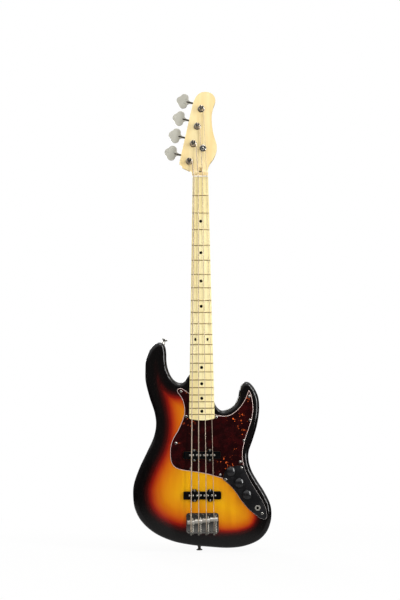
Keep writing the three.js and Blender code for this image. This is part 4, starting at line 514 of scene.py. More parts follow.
class Tree:
    """A node tree that is being filled."""

    def __init__(self, tree: bpy.types.NodeTree) -> None:
        """Starts on an empty tree."""
        self.tree = tree
        tree.nodes.clear()

    def add(self, kind: str, inputs: dict | None = None, **settings: object) -> bpy.types.Node:
        """Adds a node, sets its settings, and links or sets its inputs."""
        node = self.tree.nodes.new(kind if kind.startswith("NodeGroup") else "ShaderNode" + kind)
        for key, value in settings.items():
            setattr(node, key, value)
        for key, value in (inputs or {}).items():
            if isinstance(value, Socket):
                self.tree.links.new(value, node.inputs[key])
            else:
                node.inputs[key].default_value = value
        return node

    def math(self, operation: str, *values: float | Socket) -> Socket:
        """A Math node's result."""
        return self.add("Math", dict(enumerate(values)), operation=operation).outputs[0]

    def mix(self, share: float | Socket, first: object, second: object, blend: str = "MIX") -> Socket:
        """Two colours mixed."""
        return self.add("Mix", {0: share, 6: first, 7: second}, data_type="RGBA", blend_type=blend).outputs[2]

    def place(self) -> Socket:
        """The place on the piece."""
        return self.add("TexCoord").outputs["Object"]

    def part(self, vector: Socket, axis: str) -> Socket:
        """One axis of a vector."""
        return self.add("SeparateXYZ", {0: vector}).outputs[axis]

    def kept(self, name: str) -> Socket:
        """An attribute that the mesh keeps."""
        return self.add("Attribute", attribute_name=name).outputs["Fac"]

    def share_out(self, first: Socket, part: float, second: Socket, rest: float) -> Socket:
        """The sum of two values, each times its share."""
        return self.math("ADD", self.math("MULTIPLY", first, part), self.math("MULTIPLY", second, rest))

    def link(self, output: Socket, result: Socket) -> None:
        """Joins an output to an input."""
        self.tree.links.new(output, result)

    def ramp(self, value: Socket, stops: Sequence[tuple[float, str]]) -> Socket:
        """A colour that a value picks from stops."""
        node = self.add("ValToRGB", {0: value})
        elements = node.color_ramp.elements
        elements[0].position, elements[0].color = stops[0][0], rgb(stops[0][1])
        elements[1].position, elements[1].color = stops[-1][0], rgb(stops[-1][1])
        for position, color in stops[1:-1]:
            elements.new(position).color = rgb(color)
        return node.outputs[0]

    def noise(self, scale: float | Socket, stretch: Sequence[float] = (1, 1, 1), detail: float = 3) -> Socket:
        """Noise on object coordinates, stretched."""
        moved = self.add("Mapping", {"Vector": self.place(), "Scale": tuple(stretch)}).outputs[0]
        return self.add("TexNoise", {"Vector": moved, "Scale": scale, "Detail": detail}).outputs[0]

    def span(self, value: Socket, low: float, high: float, to_low: float = 0, to_high: float = 1) -> Socket:
        """A value moved smoothly from one span to another."""
        inputs = {"Value": value, "From Min": low, "From Max": high, "To Min": to_low, "To Max": to_high}
        return self.add("MapRange", inputs, interpolation_type="SMOOTHSTEP").outputs[0]


def shared_node(tree: Tree, name: str, values: dict[str, float | tuple], outputs: dict[str, str],
                fill: Callable[[Tree, bpy.types.Node, bpy.types.Node], None]) -> bpy.types.Node:
    """A node of a shader node group, which is made at its first use.

    Args:
        tree: where the node goes.
        name: the group's name.
        values: its inputs, each with its value on this node.
        outputs: its outputs, each with its socket type.
        fill: adds the nodes between the input and the output node.
    Returns:
        The node.
    """
    group = bpy.data.node_groups.get(name)
    if group is None:
        group = bpy.data.node_groups.new(name, "ShaderNodeTree")
        for key, value in values.items():
            kind = "NodeSocketColor" if isinstance(value, tuple) else "NodeSocketFloat"
            group.interface.new_socket(key, in_out="INPUT", socket_type=kind)
        for key, kind in outputs.items():
            group.interface.new_socket(key, in_out="OUTPUT", socket_type=kind)
        inside = Tree(group)
        fill(inside, inside.add("NodeGroupInput"), inside.add("NodeGroupOutput"))
    return tree.add("Group", values, node_tree=group)


def fill_wear(tree: Tree, given: bpy.types.Node, result: bpy.types.Node) -> None:
    """Fine handling marks: smudged roughness and a shallow height."""
    smudge, speck = tree.noise(given.outputs["Scale"], detail=4), tree.noise(900, detail=2)
    both = tree.share_out(smudge, 0.75, speck, 0.25)
    reach = tree.math("SUBTRACT", given.outputs["High"], given.outputs["Low"])
    rough = tree.math("ADD", given.outputs["Low"], tree.math("MULTIPLY", tree.span(both, 0.35, 0.65), reach))
    tree.link(rough, result.inputs["Roughness"])
    tree.link(both, result.inputs["Height"])


def fill_grain(tree: Tree, given: bpy.types.Node, result: bpy.types.Node) -> None:
    """Wood grain along Z: broad streaks, fine pores and a slow change of tone."""
    broad = tree.noise(1, (60, 60, 5), 4)
    pores = tree.noise(1, (900, 900, 26), 2)
    slow = tree.noise(1, (9, 9, 3), 2)
    tone = tree.share_out(broad, 0.6, slow, 0.4)
    color = tree.mix(tree.span(tone, 0.36, 0.64), given.outputs["Light"], given.outputs["Dark"])
    fleck = tree.math("MULTIPLY", tree.span(pores, 0.56, 0.72), given.outputs["Pores"])
    tree.link(tree.mix(fleck, color, given.outputs["Dark"]), result.inputs["Color"])
    tree.link(tree.math("ADD", tone, tree.math("MULTIPLY", pores, 0.5)), result.inputs["Height"])


@dataclass(frozen=True)
class Finish:
    """A finish: subclasses paint it, and this class gives it its gloss."""

    name: str
    color: str = "808080"
    accent: str = "707070"
    low: float = 0.2
    high: float = 0.35
    metallic: float = 0.0
    coat: float = 0.0
    specular: float = 0.5
    bump: float = 0.02
    smudge: float = 30.0

    def face(self, tree: Tree) -> Socket:
        """Two close tones in clouds."""
        return tree.mix(tree.span(tree.noise(self.smudge), 0.35, 0.65), rgb(self.color), rgb(self.accent))

    def paint(self, tree: Tree) -> tuple[Socket, Socket | None]:
        """The base colour, and a height or None."""
        return self.face(tree), None

    def wear(self, tree: Tree) -> bpy.types.Node:
        """The shared wear group, with this finish's values."""
        values = {"Scale": self.smudge, "Low": self.low, "High": self.high}
        outputs = {"Roughness": "NodeSocketFloat", "Height": "NodeSocketFloat"}
        return shared_node(tree, "handling_wear", values, outputs, fill_wear)

    def material(self) -> bpy.types.Material:
        """The finish's material, made at its first use."""
        if self.name in bpy.data.materials:
            return bpy.data.materials[self.name]
        made = bpy.data.materials.new(self.name)
        made.use_nodes = True
        tree = Tree(made.node_tree)
        color, height = self.paint(tree)
        wear = self.wear(tree)
        bump = tree.add("Bump", {
            "Strength": 0.6, "Distance": self.bump * MM, "Height": height or wear.outputs["Height"],
        })
        shader = tree.add("BsdfPrincipled", {
            "Base Color": color, "Roughness": wear.outputs["Roughness"], "Metallic": self.metallic,
            "Coat Weight": self.coat, "Coat Roughness": 0.04, "Specular IOR Level": self.specular,
            "Normal": bump.outputs[0],
        })
        tree.add("OutputMaterial", {"Surface": shader.outputs[0]})
        made.diffuse_color = rgb(self.color)
        return made


@dataclass(frozen=True)
class Wood(Finish):
    """Lacquered wood whose grain runs up the neck."""

    pores: float = 0.3

    def grain(self, tree: Tree) -> bpy.types.Node:
        """The shared grain group, with this finish's colours."""
        values = {"Light": rgb(self.color), "Dark": rgb(self.accent), "Pores": self.pores}
        outputs = {"Color": "NodeSocketColor", "Height": "NodeSocketFloat"}
        return shared_node(tree, "wood_grain", values, outputs, fill_grain)

    def paint(self, tree: Tree) -> tuple[Socket, Socket | None]:
        """Grain in the two tones."""
        grain = self.grain(tree)
        return grain.outputs["Color"], grain.outputs["Height"]


@dataclass(frozen=True)
class Sunburst(Wood):
    """Three tones sprayed from the rim inwards over the wood, under a thick clear coat."""

    spray: float = 0.12
    drift: float = 0.012

    def paint(self, tree: Tree) -> tuple[Socket, Socket | None]:
        """Black at the rim, then red and orange, and amber wood in the middle."""
        grain = self.grain(tree)
        cloud = tree.math("MULTIPLY", tree.math("SUBTRACT", tree.noise(7, detail=2), 0.5), self.drift)
        depth = tree.math("DIVIDE", tree.math("ADD", tree.kept("rim"), cloud), self.spray)
        veil = tree.ramp(depth, [
            (0.17, "070505"), (0.225, "110404"), (0.30, "3e0503"), (0.37, "821204"), (0.44, "ae3a05"),
            (0.54, "c66405"), (0.70, "d68a05"), (1.0, "e2a806"),
        ])
        wood = tree.mix(tree.span(depth, 0.35, 0.62, 0, 0.34), rgb("ffffff"), grain.outputs["Color"])
        return tree.mix(1.0, veil, wood, "MULTIPLY"), grain.outputs["Height"]


@dataclass(frozen=True)
class Sheet(Finish):
    """Plastic sheet on pale and dark plies, which show on its bevelled edge."""

    front: float = -2.3
    top_ply: float = 0.45
    pale_plies: float = 1.75
    pale: str = "6e6e70"
    core: str = "1a1a1a"

    def paint(self, tree: Tree) -> tuple[Socket, Socket | None]:
        """The top ply, and the plies under it by depth."""
        deep = tree.part(tree.place(), "Y")
        pale = tree.math("GREATER_THAN", deep, (self.front + self.top_ply) * MM)
        dark = tree.math("GREATER_THAN", deep, (self.front + self.pale_plies) * MM)
        return tree.mix(dark, tree.mix(pale, self.face(tree), rgb(self.pale)), rgb(self.core)), None


@dataclass(frozen=True)
class Tortoise(Sheet):
    """A dark red mottled top ply, with bright flecks that thicken towards the treble side."""

    fleck: str = "ff6e2c"

    def face(self, tree: Tree) -> Socket:
        """Dark brown red clouds with small bright flecks."""
        cloud = tree.span(tree.noise(45, detail=5), 0.42, 0.66)
        body = tree.mix(cloud, rgb(self.color), rgb(self.accent))
        lean = tree.span(tree.part(tree.place(), "X"), -0.02, 0.1, -0.03, 0.04)
        fleck = tree.span(tree.noise(170, detail=4), 0.635, 0.70)
        patch = tree.span(tree.math("ADD", tree.noise(16, detail=1), lean), 0.52, 0.62)
        return tree.mix(tree.math("MULTIPLY", fleck, patch), body, rgb(self.fleck))


@dataclass(frozen=True)
class Wound(Finish):
    """Round wire wound on a core: ridges across the string, from how far along it they lie."""

    pitch: float = 0.55

    def paint(self, tree: Tree) -> tuple[Socket, Socket | None]:
        """Bright ridges with darker valleys, where the dark between the wraps is painted shade."""
        turn = tree.math("MULTIPLY", tree.kept("along"), TURN / (self.pitch * MM))
        ridge = tree.math("ADD", tree.math("MULTIPLY", tree.math("SINE", turn), 0.5), 0.5)
        # The valleys' darker colour is painted shade between the wraps; the height gives the ridges' real
        # relief.
        return tree.mix(ridge, rgb(self.accent), rgb(self.color)), ridge


SUNBURST = Sunburst("sunburst_lacquer", "fff0c8", "d69a52", 0.16, 0.22, coat=0.6, specular=0.2, pores=0.4)
MAPLE = Wood("maple_lacquer", "f6e2ac", "edd193", 0.28, 0.38, coat=0.6, pores=0.18)
BOARD_MAPLE = Wood("fingerboard_maple", "fcf0bc", "f2e0a0", 0.3, 0.42, coat=0.4, bump=0.03, pores=0.25)
TORTOISE = Tortoise(
    "tortoise_sheet", "1a0203", "2c0405", 0.14, 0.22, coat=0.15, specular=0.2, front=-2.7, pale="e8cfc8",
    core="241512",
)
BLACK_SHEET = Sheet("black_sheet", "161617", "1e1e20", 0.2, 0.32, specular=0.25, pale="aca6a4")
BLACK_PLASTIC = Finish(
    "matt_black_plastic", "040404", "080808", 0.3, 0.42, specular=0.1, bump=0.03, smudge=60,
)
KNOB_PLASTIC = Finish("knob_plastic", "131314", "1c1c1e", 0.14, 0.24, specular=0.6, smudge=60)
CHROME = Finish("polished_chrome", "dad8d2", "c9c6be", 0.08, 0.16, metallic=1.0, bump=0.004)
NICKEL = Finish("satin_nickel", "c8c4ba", "b4afa4", 0.2, 0.32, metallic=1.0, bump=0.006)
# The keys' pale colour is partly diffuse, a painted reflection of the bright room that chrome keys show.
KEY_NICKEL_PAINTED_REFLECTION = Finish("key_nickel_painted_reflection", "d4d2c6", "c6c4b8", 0.24, 0.34, metallic=0.35, bump=0.006)
# Darkened steel: on the bridge screws, the key shafts and the end strap button its dark colour is painted
# shade and painted dark reflection on bright metal; the worms and the hidden pieces are plain dark steel.
SHADE_PAINTED_STEEL = Finish("steel_with_painted_shade", "5c5650", "48443f", 0.3, 0.45, metallic=1.0, bump=0.01, smudge=80)
STEEL = Finish("plain_steel", "c4c0b8", "a8a49c", 0.28, 0.42, metallic=0.6, bump=0.01, smudge=80)
# The fret wire's yellow tint is a painted reflection of the maple board around it.
FRET_WIRE_PAINTED_MAPLE_REFLECTION = Finish("fret_wire_painted_maple_reflection", "b4a074", "9c8a60", 0.25, 0.35, metallic=1.0, bump=0.004)
BONE = Finish("bone", "f4f0e4", "e6dfcc", 0.35, 0.5, smudge=120)
DOT = Finish("dot_inlay", "070504", "0e0b09", 0.3, 0.4, specular=0.15, bump=0.01)
COIL_WIRE = Finish("coil_wrap", "2a2624", "1c1a19", 0.5, 0.7, bump=0.05, smudge=200)
WOUND = Wound("wound_string", "e8d6c0", "a89684", 0.25, 0.35, metallic=0.5, bump=0.12)


# Small hardware


@dataclass(frozen=True)
class Screw:
    """An oval-headed screw with a cross recess, its head's seat at a depth and facing the front."""

    radius: float
    height: float
    shank: float = 9.0

    def model(self, name: str) -> Piece:
        """One screw at the origin."""
        r, h = self.radius, self.height
        head = turned(name, [
            (0.12 * r, self.shank), (0.44 * r, self.shank - 1.2), (0.44 * r, 0), (r, 0), (0.99 * r, -0.2 * h),
            (0.88 * r, -0.55 * h), (0.66 * r, -0.83 * h), (0.4 * r, -0.96 * h), (0.12 * r, -h),
        ], sides=28)
        return combine(head, cross(0.13 * r, 0.62 * r, -2 * h, -0.5 * h))

    def set_at(self, name: str, places: Sequence[Pair], seat: float, look: Finish) -> Piece:
        """Copies of one screw at places in X and Z, joined, each turned a little further."""
        one = self.model(name + "_one")
        made = []
        for number, (x, z) in enumerate(places):
            turn = Matrix.Rotation(0.7 * number + 0.3, 4, "Y")
            made.append(copy_of(one, f"{name}_{number}", Matrix.Translation((x, seat, z)) @ turn))
        bpy.data.objects.remove(one)
        return present(merge(name, made), look)


PLATE_SCREW = Screw(3.3, 1.3)


# Body


@dataclass
class Body:
    """The solid body with its contours, pocket, routs and sunburst."""

    edge: float = 11.0
    lip: float = 3.0
    rounds: int = 6
    grid: float = 8.0
    outline_steps: int = 5
    arm_from: Pair = (-0.62, 0.69)
    arm_heading: float = math.radians(-15)
    arm_slope: float = 13 / 62
    belly_from: Pair = (-0.36, 0.42)
    belly_slope: float = 16 / 66
    belly_radius: float = 480.0
    waist_z: float = -622.0
    waist_reach: float = 75.0
    waist_gain: float = 7.0
    side_reach: float = 60.0
    amber_gain: float = 18.0
    amber_span: Pair = (35.0, 60.0)
    ahead: float = -6.0
    rout_gap: float = 0.8
    pickup_rout: float = 16.1
    control_rout: float = 34.0
    control_radius: float = 14.5
    bolt_hole: float = 2.75
    shares: Sequence[Pair] = (
        (-0.607, 0.001), (-0.655, 0.004), (-0.694, 0.013), (-0.74, 0.03), (-0.775, 0.053), (-0.813, 0.092),
        (-0.821, 0.139), (-0.817, 0.191), (-0.761, 0.269), (-0.685, 0.348), (-0.665, 0.404), (-0.698, 0.465),
        (-0.802, 0.542), (-0.913, 0.62), (-0.991, 0.697), (-1.0, 0.754), (-0.974, 0.812), (-0.885, 0.87),
        (-0.699, 0.926), (-0.45, 0.964), (-0.199, 0.983), (0.116, 0.995), (0.394, 1.0), (0.611, 0.991),
        (0.81, 0.964), (0.923, 0.926), (0.981, 0.881), (0.998, 0.836), (0.981, 0.793), (0.899, 0.734),
        (0.793, 0.677), (0.716, 0.63), (0.678, 0.585), (0.678, 0.54), (0.736, 0.484), (0.807, 0.406),
        (0.84, 0.328), (0.824, 0.269), (0.772, 0.23), (0.727, 0.21), (0.69, 0.2), (0.653, 0.197),
        (0.615, 0.201), (0.585, 0.213), (0.556, 0.24), (0.541, 0.267), (0.489, 0.304), (0.396, 0.328),
        (0.297, 0.338), (0.24, 0.328), (0.192, 0.305), (0.171, 0.267), (0.166, 0.23), (0.128, 0.198),
        (0.047, 0.177), (-0.07, 0.163), (-0.157, 0.157), (-0.199, 0.171), (-0.245, 0.193), (-0.315, 0.201),
        (-0.384, 0.192), (-0.441, 0.171), (-0.491, 0.132), (-0.512, 0.092), (-0.515, 0.053), (-0.528, 0.024),
        (-0.556, 0.008),
    )
    outline: list[Pair] = field(init=False)

    def __post_init__(self) -> None:
        """Works out the smooth outline once."""
        self.outline = closed_curve(PLAN.points(self.shares), self.outline_steps)

    def edge_radius(self, x: float, z: float) -> float:
        """The edge's radius, small beside the neck."""
        if z < PLAN.heel_end:
            return self.edge
        beside = abs(x) - PLAN.board_half(z)
        return self.lip + (self.edge - self.lip) * smoothstep(beside, 0, 2 * self.edge)

    def bend_radius(self, i: int) -> float:
        """The radius of the outline's own outward bend at a point."""
        count, reach = len(self.outline), self.outline_steps
        a, b, c = (Vector(self.outline[k % count]) for k in (i - reach, i, i + reach))
        area = ((b.x - a.x) * (c.y - b.y) - (b.y - a.y) * (c.x - b.x)) / 2
        return (b - a).length * (c - b).length * (c - a).length / (4 * area) if area > 1e-6 else 1e6

    def rings(self) -> list[Ring]:
        """The rings from the front face round the rim to the back face."""
        count = len(self.outline)
        rough = [min(self.edge_radius(*p), 0.9 * self.bend_radius(i)) for i, p in enumerate(self.outline)]
        radii = [sum(rough[(i + k) % count] for k in range(-3, 4)) / 7 for i in range(count)]
        inward = []
        for i in range(count):
            along = (Vector(self.outline[(i + 1) % count]) - Vector(self.outline[i - 1])).normalized()
            inward.append(Vector((-along.y, along.x)))
        front, levels = [], [(1.05, 0.0)]
        for k in range(self.rounds + 1):
            angle = math.pi / 2 * k / self.rounds
            levels.append((1 - math.sin(angle), 1 - math.cos(angle)))
        for aside, deep in levels:
            front.append([
                (x + normal.x * radius * aside, radius * deep, z + normal.y * radius * aside)
                for (x, z), normal, radius in zip(self.outline, inward, radii)
            ])
        back = [[(x, PLAN.body_depth - y, z) for x, y, z in ring] for ring in reversed(front)]
        return front + back

    def contour(self, piece: Piece) -> None:
        """Lowers the front under the player's arm, and hollows the back at the waist."""
        ax, az = PLAN.on_body(self.arm_from)
        bx, bz = PLAN.on_body(self.belly_from)
        ux, uz = -math.cos(self.arm_heading), math.sin(self.arm_heading)
        depth = PLAN.body_depth
        for vertex in piece.data.vertices:
            x, y, z = (c / MM for c in vertex.co)
            arm = self.arm_slope * soft_max((x - ax) * ux + (z - az) * uz, 8)
            belly = soft_max(self.belly_slope * (bx - x) - 1.03 * (z - bz) ** 2 / (2 * self.belly_radius), 2)
            y += arm * (1 - smoothstep(y, self.edge, depth - 8)) - belly * smoothstep(y, 8, depth - self.edge)
            vertex.co.y = y * MM

    def subdivide(self, piece: Piece) -> None:
        """Bisects the body along a grid, so that the faces bend and carry the sunburst."""
        take(piece)
        bpy.ops.object.mode_set(mode="EDIT")
        half, top = PLAN.body_width / 2, PLAN.body_top
        for low, high, normal in ((-half, half, (1, 0, 0)), (top - PLAN.body_length, top, (0, 0, 1))):
            for place in np.arange(low + self.grid, high, self.grid):
                bpy.ops.mesh.select_all(action="SELECT")
                at = [float(place) * MM * n for n in normal]
                bpy.ops.mesh.bisect(plane_co=at, plane_no=normal)
        bpy.ops.object.mode_set(mode="OBJECT")

    def cutters(self) -> list[Piece]:
        """The neck pocket, pickup routs, control cavity and bolt holes."""
        made = [plate("cutter", PLAN.neck_outline(PLAN.gap, PLAN.body_top), self.ahead, PLAN.pocket)]
        for pickup in PICKUPS:
            made += pickup.blanks(self.rout_gap, self.ahead, self.pickup_rout)
        stops = PLAN.points([*ControlPlate.knobs.values(), ControlPlate.jack])
        path, r = [], self.control_radius
        for start, (x, z) in ((stops[0], stops[-1]), (stops[-1], stops[0])):
            along = (Vector((x, z)) - Vector(start)).normalized()
            turns = [math.atan2(along.y, along.x) + math.pi * (k / 12 - 0.5) for k in range(13)]
            path += [(x + r * math.cos(t), z + r * math.sin(t)) for t in turns]
        made.append(plate("cutter", path, self.ahead, self.control_rout))
        behind = PLAN.body_depth - self.ahead
        made += [bore(self.bolt_hole, self.ahead, behind, (x, 0, z), sides=16) for x, z in PLAN.bolts()[1]]
        return made

    def mark_rim(self, piece: Piece) -> None:
        """Keeps each vertex's distance from the outline as an attribute, in metres.

        The sprayed rim is thinner at the bass side's waist, so the distance grows there. It also grows faster
        towards the middle on the treble side, where the orange gives way to amber sooner.
        """
        start = np.array(self.outline) * MM
        step = np.roll(start, -1, 0) - start
        co = np.array([v.co for v in piece.data.vertices])[:, [0, 2]]
        nearest = np.full(len(co), 1e9)
        for a, d in zip(start, step):
            share = np.clip(((co - a) @ d) / (d @ d), 0, 1)
            nearest = np.minimum(nearest, np.linalg.norm(co - a - share[:, None] * d, axis=1))
        waist = np.exp(-(((co[:, 1] - self.waist_z * MM) / (self.waist_reach * MM)) ** 2))
        bass, treble = (np.clip(side * co[:, 0] / (self.side_reach * MM), 0, 1) for side in (-1, 1))
        nearest += self.waist_gain * MM * waist * bass
        low, high = self.amber_span
        nearest += self.amber_gain * MM * treble * np.clip((nearest - low * MM) / ((high - low) * MM), 0, 1)
        kept = piece.data.attributes.new("rim", "FLOAT", "POINT")
        kept.data.foreach_set("value", nearest.astype(np.float32))

    def build(self) -> None:
        """Builds and dresses the body."""
        piece = loft("body_shell", self.rings())
        self.subdivide(piece)
        self.contour(piece)
        combine(piece, self.cutters())
        self.mark_rim(piece)
        present(piece, SUNBURST, ["body"], angle=40)


# Guard, plate, knobs, jack


@dataclass
class Guard:
    """The mottled guard with its bevelled plies and screws."""

    front: float = -2.7
    back: float = -0.3
    chamfer: float = 1.5
    cut: Pair = (-9.0, 6.0)
    bass: Sequence[Pair] = (
        (0.294, 0.667), (0.174, 0.655), (0.041, 0.643), (-0.174, 0.631), (-0.29, 0.625), (-0.382, 0.614),
        (-0.44, 0.59), (-0.459, 0.553), (-0.449, 0.506), (-0.405, 0.467), (-0.346, 0.434), (-0.284, 0.387),
        (-0.252, 0.351), (-0.253, 0.32), (-0.278, 0.287), (-0.319, 0.262), (-0.352, 0.247), (-0.35, 0.234),
        (-0.307, 0.229), (-0.261, 0.235), (-0.15, 0.262),
    )
    cutaway: Sequence[Pair] = (
        (0.15, 0.352), (0.209, 0.36), (0.272, 0.364), (0.34, 0.365), (0.41, 0.36), (0.483, 0.345),
        (0.562, 0.319), (0.626, 0.287), (0.66, 0.261), (0.684, 0.239),
    )
    treble: Sequence[Pair] = (
        (0.684, 0.239), (0.713, 0.256), (0.738, 0.294), (0.746, 0.336), (0.725, 0.381), (0.678, 0.43),
        (0.626, 0.48), (0.592, 0.528), (0.584, 0.566), (0.6, 0.603),
    )
    arc: Sequence[Pair] = (
        (0.6, 0.603), (0.52, 0.604), (0.433, 0.609), (0.375, 0.619), (0.324, 0.636), (0.294, 0.667),
    )
    screws: Sequence[Pair] = (
        (-0.3, 0.245), (-0.229, 0.366), (-0.377, 0.496), (-0.162, 0.62), (0.26, 0.65), (0.55, 0.588),
        (0.609, 0.485), (0.7, 0.386), (0.689, 0.27), (0.21, 0.371),
    )

    def build(self) -> None:
        """Builds and dresses the guard and its screws."""
        bass, cutaway, treble, arc = (
            open_curve(PLAN.points(part), 5) for part in (self.bass, self.cutaway, self.treble, self.arc)
        )
        piece = plate("guard_sheet", [*bass, *cutaway, *treble[1:], *arc[1:-1]], self.front, self.back)
        bevel_at(piece, self.front, self.chamfer, 1, arc)
        neck = plate("cutter", PLAN.neck_outline(PLAN.gap, PLAN.body_top), *self.cut)
        combine(piece, [neck, *PICKUPS[1].blanks(Body.rout_gap, *self.cut)])
        present(piece, TORTOISE, ["pickguard"])
        PLATE_SCREW.set_at("guard_screws", PLAN.points(self.screws), self.front, CHROME)


@dataclass
class ControlPlate:
    """The dark plate under the knobs, with the knobs and the jack."""

    front: float = -2.3
    back: float = -0.3
    chamfer: float = 0.9
    knob_hole: float = 5.0
    jack_hole: float = 5.1
    knob_height: float = 15.0
    dome: float = 20.0
    knobs = {"neck_volume": (0.411, 0.633), "bridge_volume": (0.532, 0.688), "tone": (0.641, 0.745)}
    jack = (0.793, 0.809)
    center: Pair = (0.5, 0.64)
    rim: Sequence[Pair] = (
        (0.602, 0.607), (0.628, 0.632), (0.692, 0.678), (0.78, 0.729), (0.851, 0.766), (0.904, 0.805),
        (0.926, 0.84), (0.908, 0.862), (0.846, 0.86), (0.762, 0.842), (0.66, 0.813), (0.565, 0.775),
        (0.492, 0.738), (0.411, 0.705), (0.296, 0.671),
    )
    screws: Sequence[Pair] = ((0.57, 0.617), (0.337, 0.672), (0.857, 0.836))

    def plate_piece(self) -> None:
        """The plate, whose arc follows the guard's edge."""
        middle = Vector(PLAN.on_body(self.center))
        arc = []
        for share in reversed(Guard.arc):
            point = Vector(PLAN.on_body(share))
            point += (middle - point).normalized() * 2 * PLAN.gap
            arc.append((point.x, point.y))
        arc = open_curve(arc, 5)
        outline = arc + open_curve([arc[-1], *PLAN.points(self.rim)], 5)[1:]
        piece = plate("control_plate_sheet", outline, self.front, self.back)
        bevel_at(piece, self.front, self.chamfer, 1, arc)
        holes = [(self.knob_hole, share) for share in self.knobs.values()] + [(self.jack_hole, self.jack)]
        for radius, share in holes:
            x, z = PLAN.on_body(share)
            combine(piece, [bore(radius, *Guard.cut, (x, 0, z), sides=32)])
        present(piece, BLACK_SHEET, ["control_plate"])
        PLATE_SCREW.set_at("control_plate_screws", PLAN.points(self.screws), self.front, CHROME)

    def knob_piece(self, name: str, share: Pair) -> None:
        """A knob with a knurled grip, a domed top and its shaft."""
        x, z = PLAN.on_body(share)
        base = self.front - 2 * PLAN.gap
        top = base - self.knob_height
        steps = (10.3, 9, 7.5, 6, 4.5, 3, 1.5, 0.4)
        dome = [(r, top - 0.8 + self.dome - math.sqrt(self.dome**2 - r * r)) for r in steps]
        grip = turned(f"{name}_grip", [
            (11.4, base), (12, base - 0.5), (12, base - 1.6), (11.75, base - 2.2), (11.2, top + 3.2),
            (10.95, top + 2.5), *dome,
        ], (x, 0, z), sides=120)
        self.knurl(grip, x, z, base - 2.4, top + 3.1)
        combine(grip, [bore(8.6, base + 5, base - 3.4, (x, 0, z))])
        shaft = turned("shaft", [(3, base - 4.5), (3, 8.7)], (x, 0, z), sides=24)
        combine(grip, [shaft], "UNION")
        present(grip, KNOB_PLASTIC, [f"{name}_knob"], f"{name}_knob", angle=28)

    def knurl(self, grip: Piece, x: float, z: float, low: float, high: float) -> None:
        """Sinks every second line of the grip between two depths."""
        step, sunk, slack = 3, 0.35, 0.5
        for vertex in grip.data.vertices:
            out = Vector((vertex.co.x / MM - x, vertex.co.z / MM - z))
            line = round(math.degrees(math.atan2(out.y, out.x)) / step)
            if high - slack < vertex.co.y / MM < low + slack and line % 2:
                vertex.co.x -= out.normalized().x * sunk * MM
                vertex.co.z -= out.normalized().y * sunk * MM

    def jack_piece(self) -> None:
        """The output jack: hexagon nut and barrel, with its holder and contacts behind the plate."""
        x, z = PLAN.on_body(self.jack)
        seat = self.front - PLAN.gap
        top, front, wide = seat - 2.2, PLAN.gap, 2.5
        nut = turned("output_jack_socket", [
            (6.3, seat), (7.3, seat - 0.4), (7.3, top + 0.35), (6.5, top),
        ], (x, 0, z), sides=6)
        barrel = turned("barrel", [(4.3, top), (4.8, top + 0.4), (4.8, 4.5)], (x, 0, z))
        holder = plate("holder", rounded(x, z, 16, 16, 4), front, 1.5)
        spans = ((6.8, 8, front, 20.3), (1.7, 8, 19.1, 20.3), (-8, -6.8, front, 4.5))
        strips = [
            block("strip", (x + left, low, z - wide), (x + right, high, z + wide))
            for left, right, low, high in spans
        ]
        combine(nut, [barrel, holder, *strips], "UNION")
        combine(nut, [bore(3.4, -9, 9, (x, 0, z))])
        present(nut, STEEL, ["output_jack"])

    def build(self) -> None:
        """Builds the plate, the knobs and the jack."""
        self.plate_piece()
        for name, share in self.knobs.items():
            self.knob_piece(name, share)
        self.jack_piece()


# Pickups


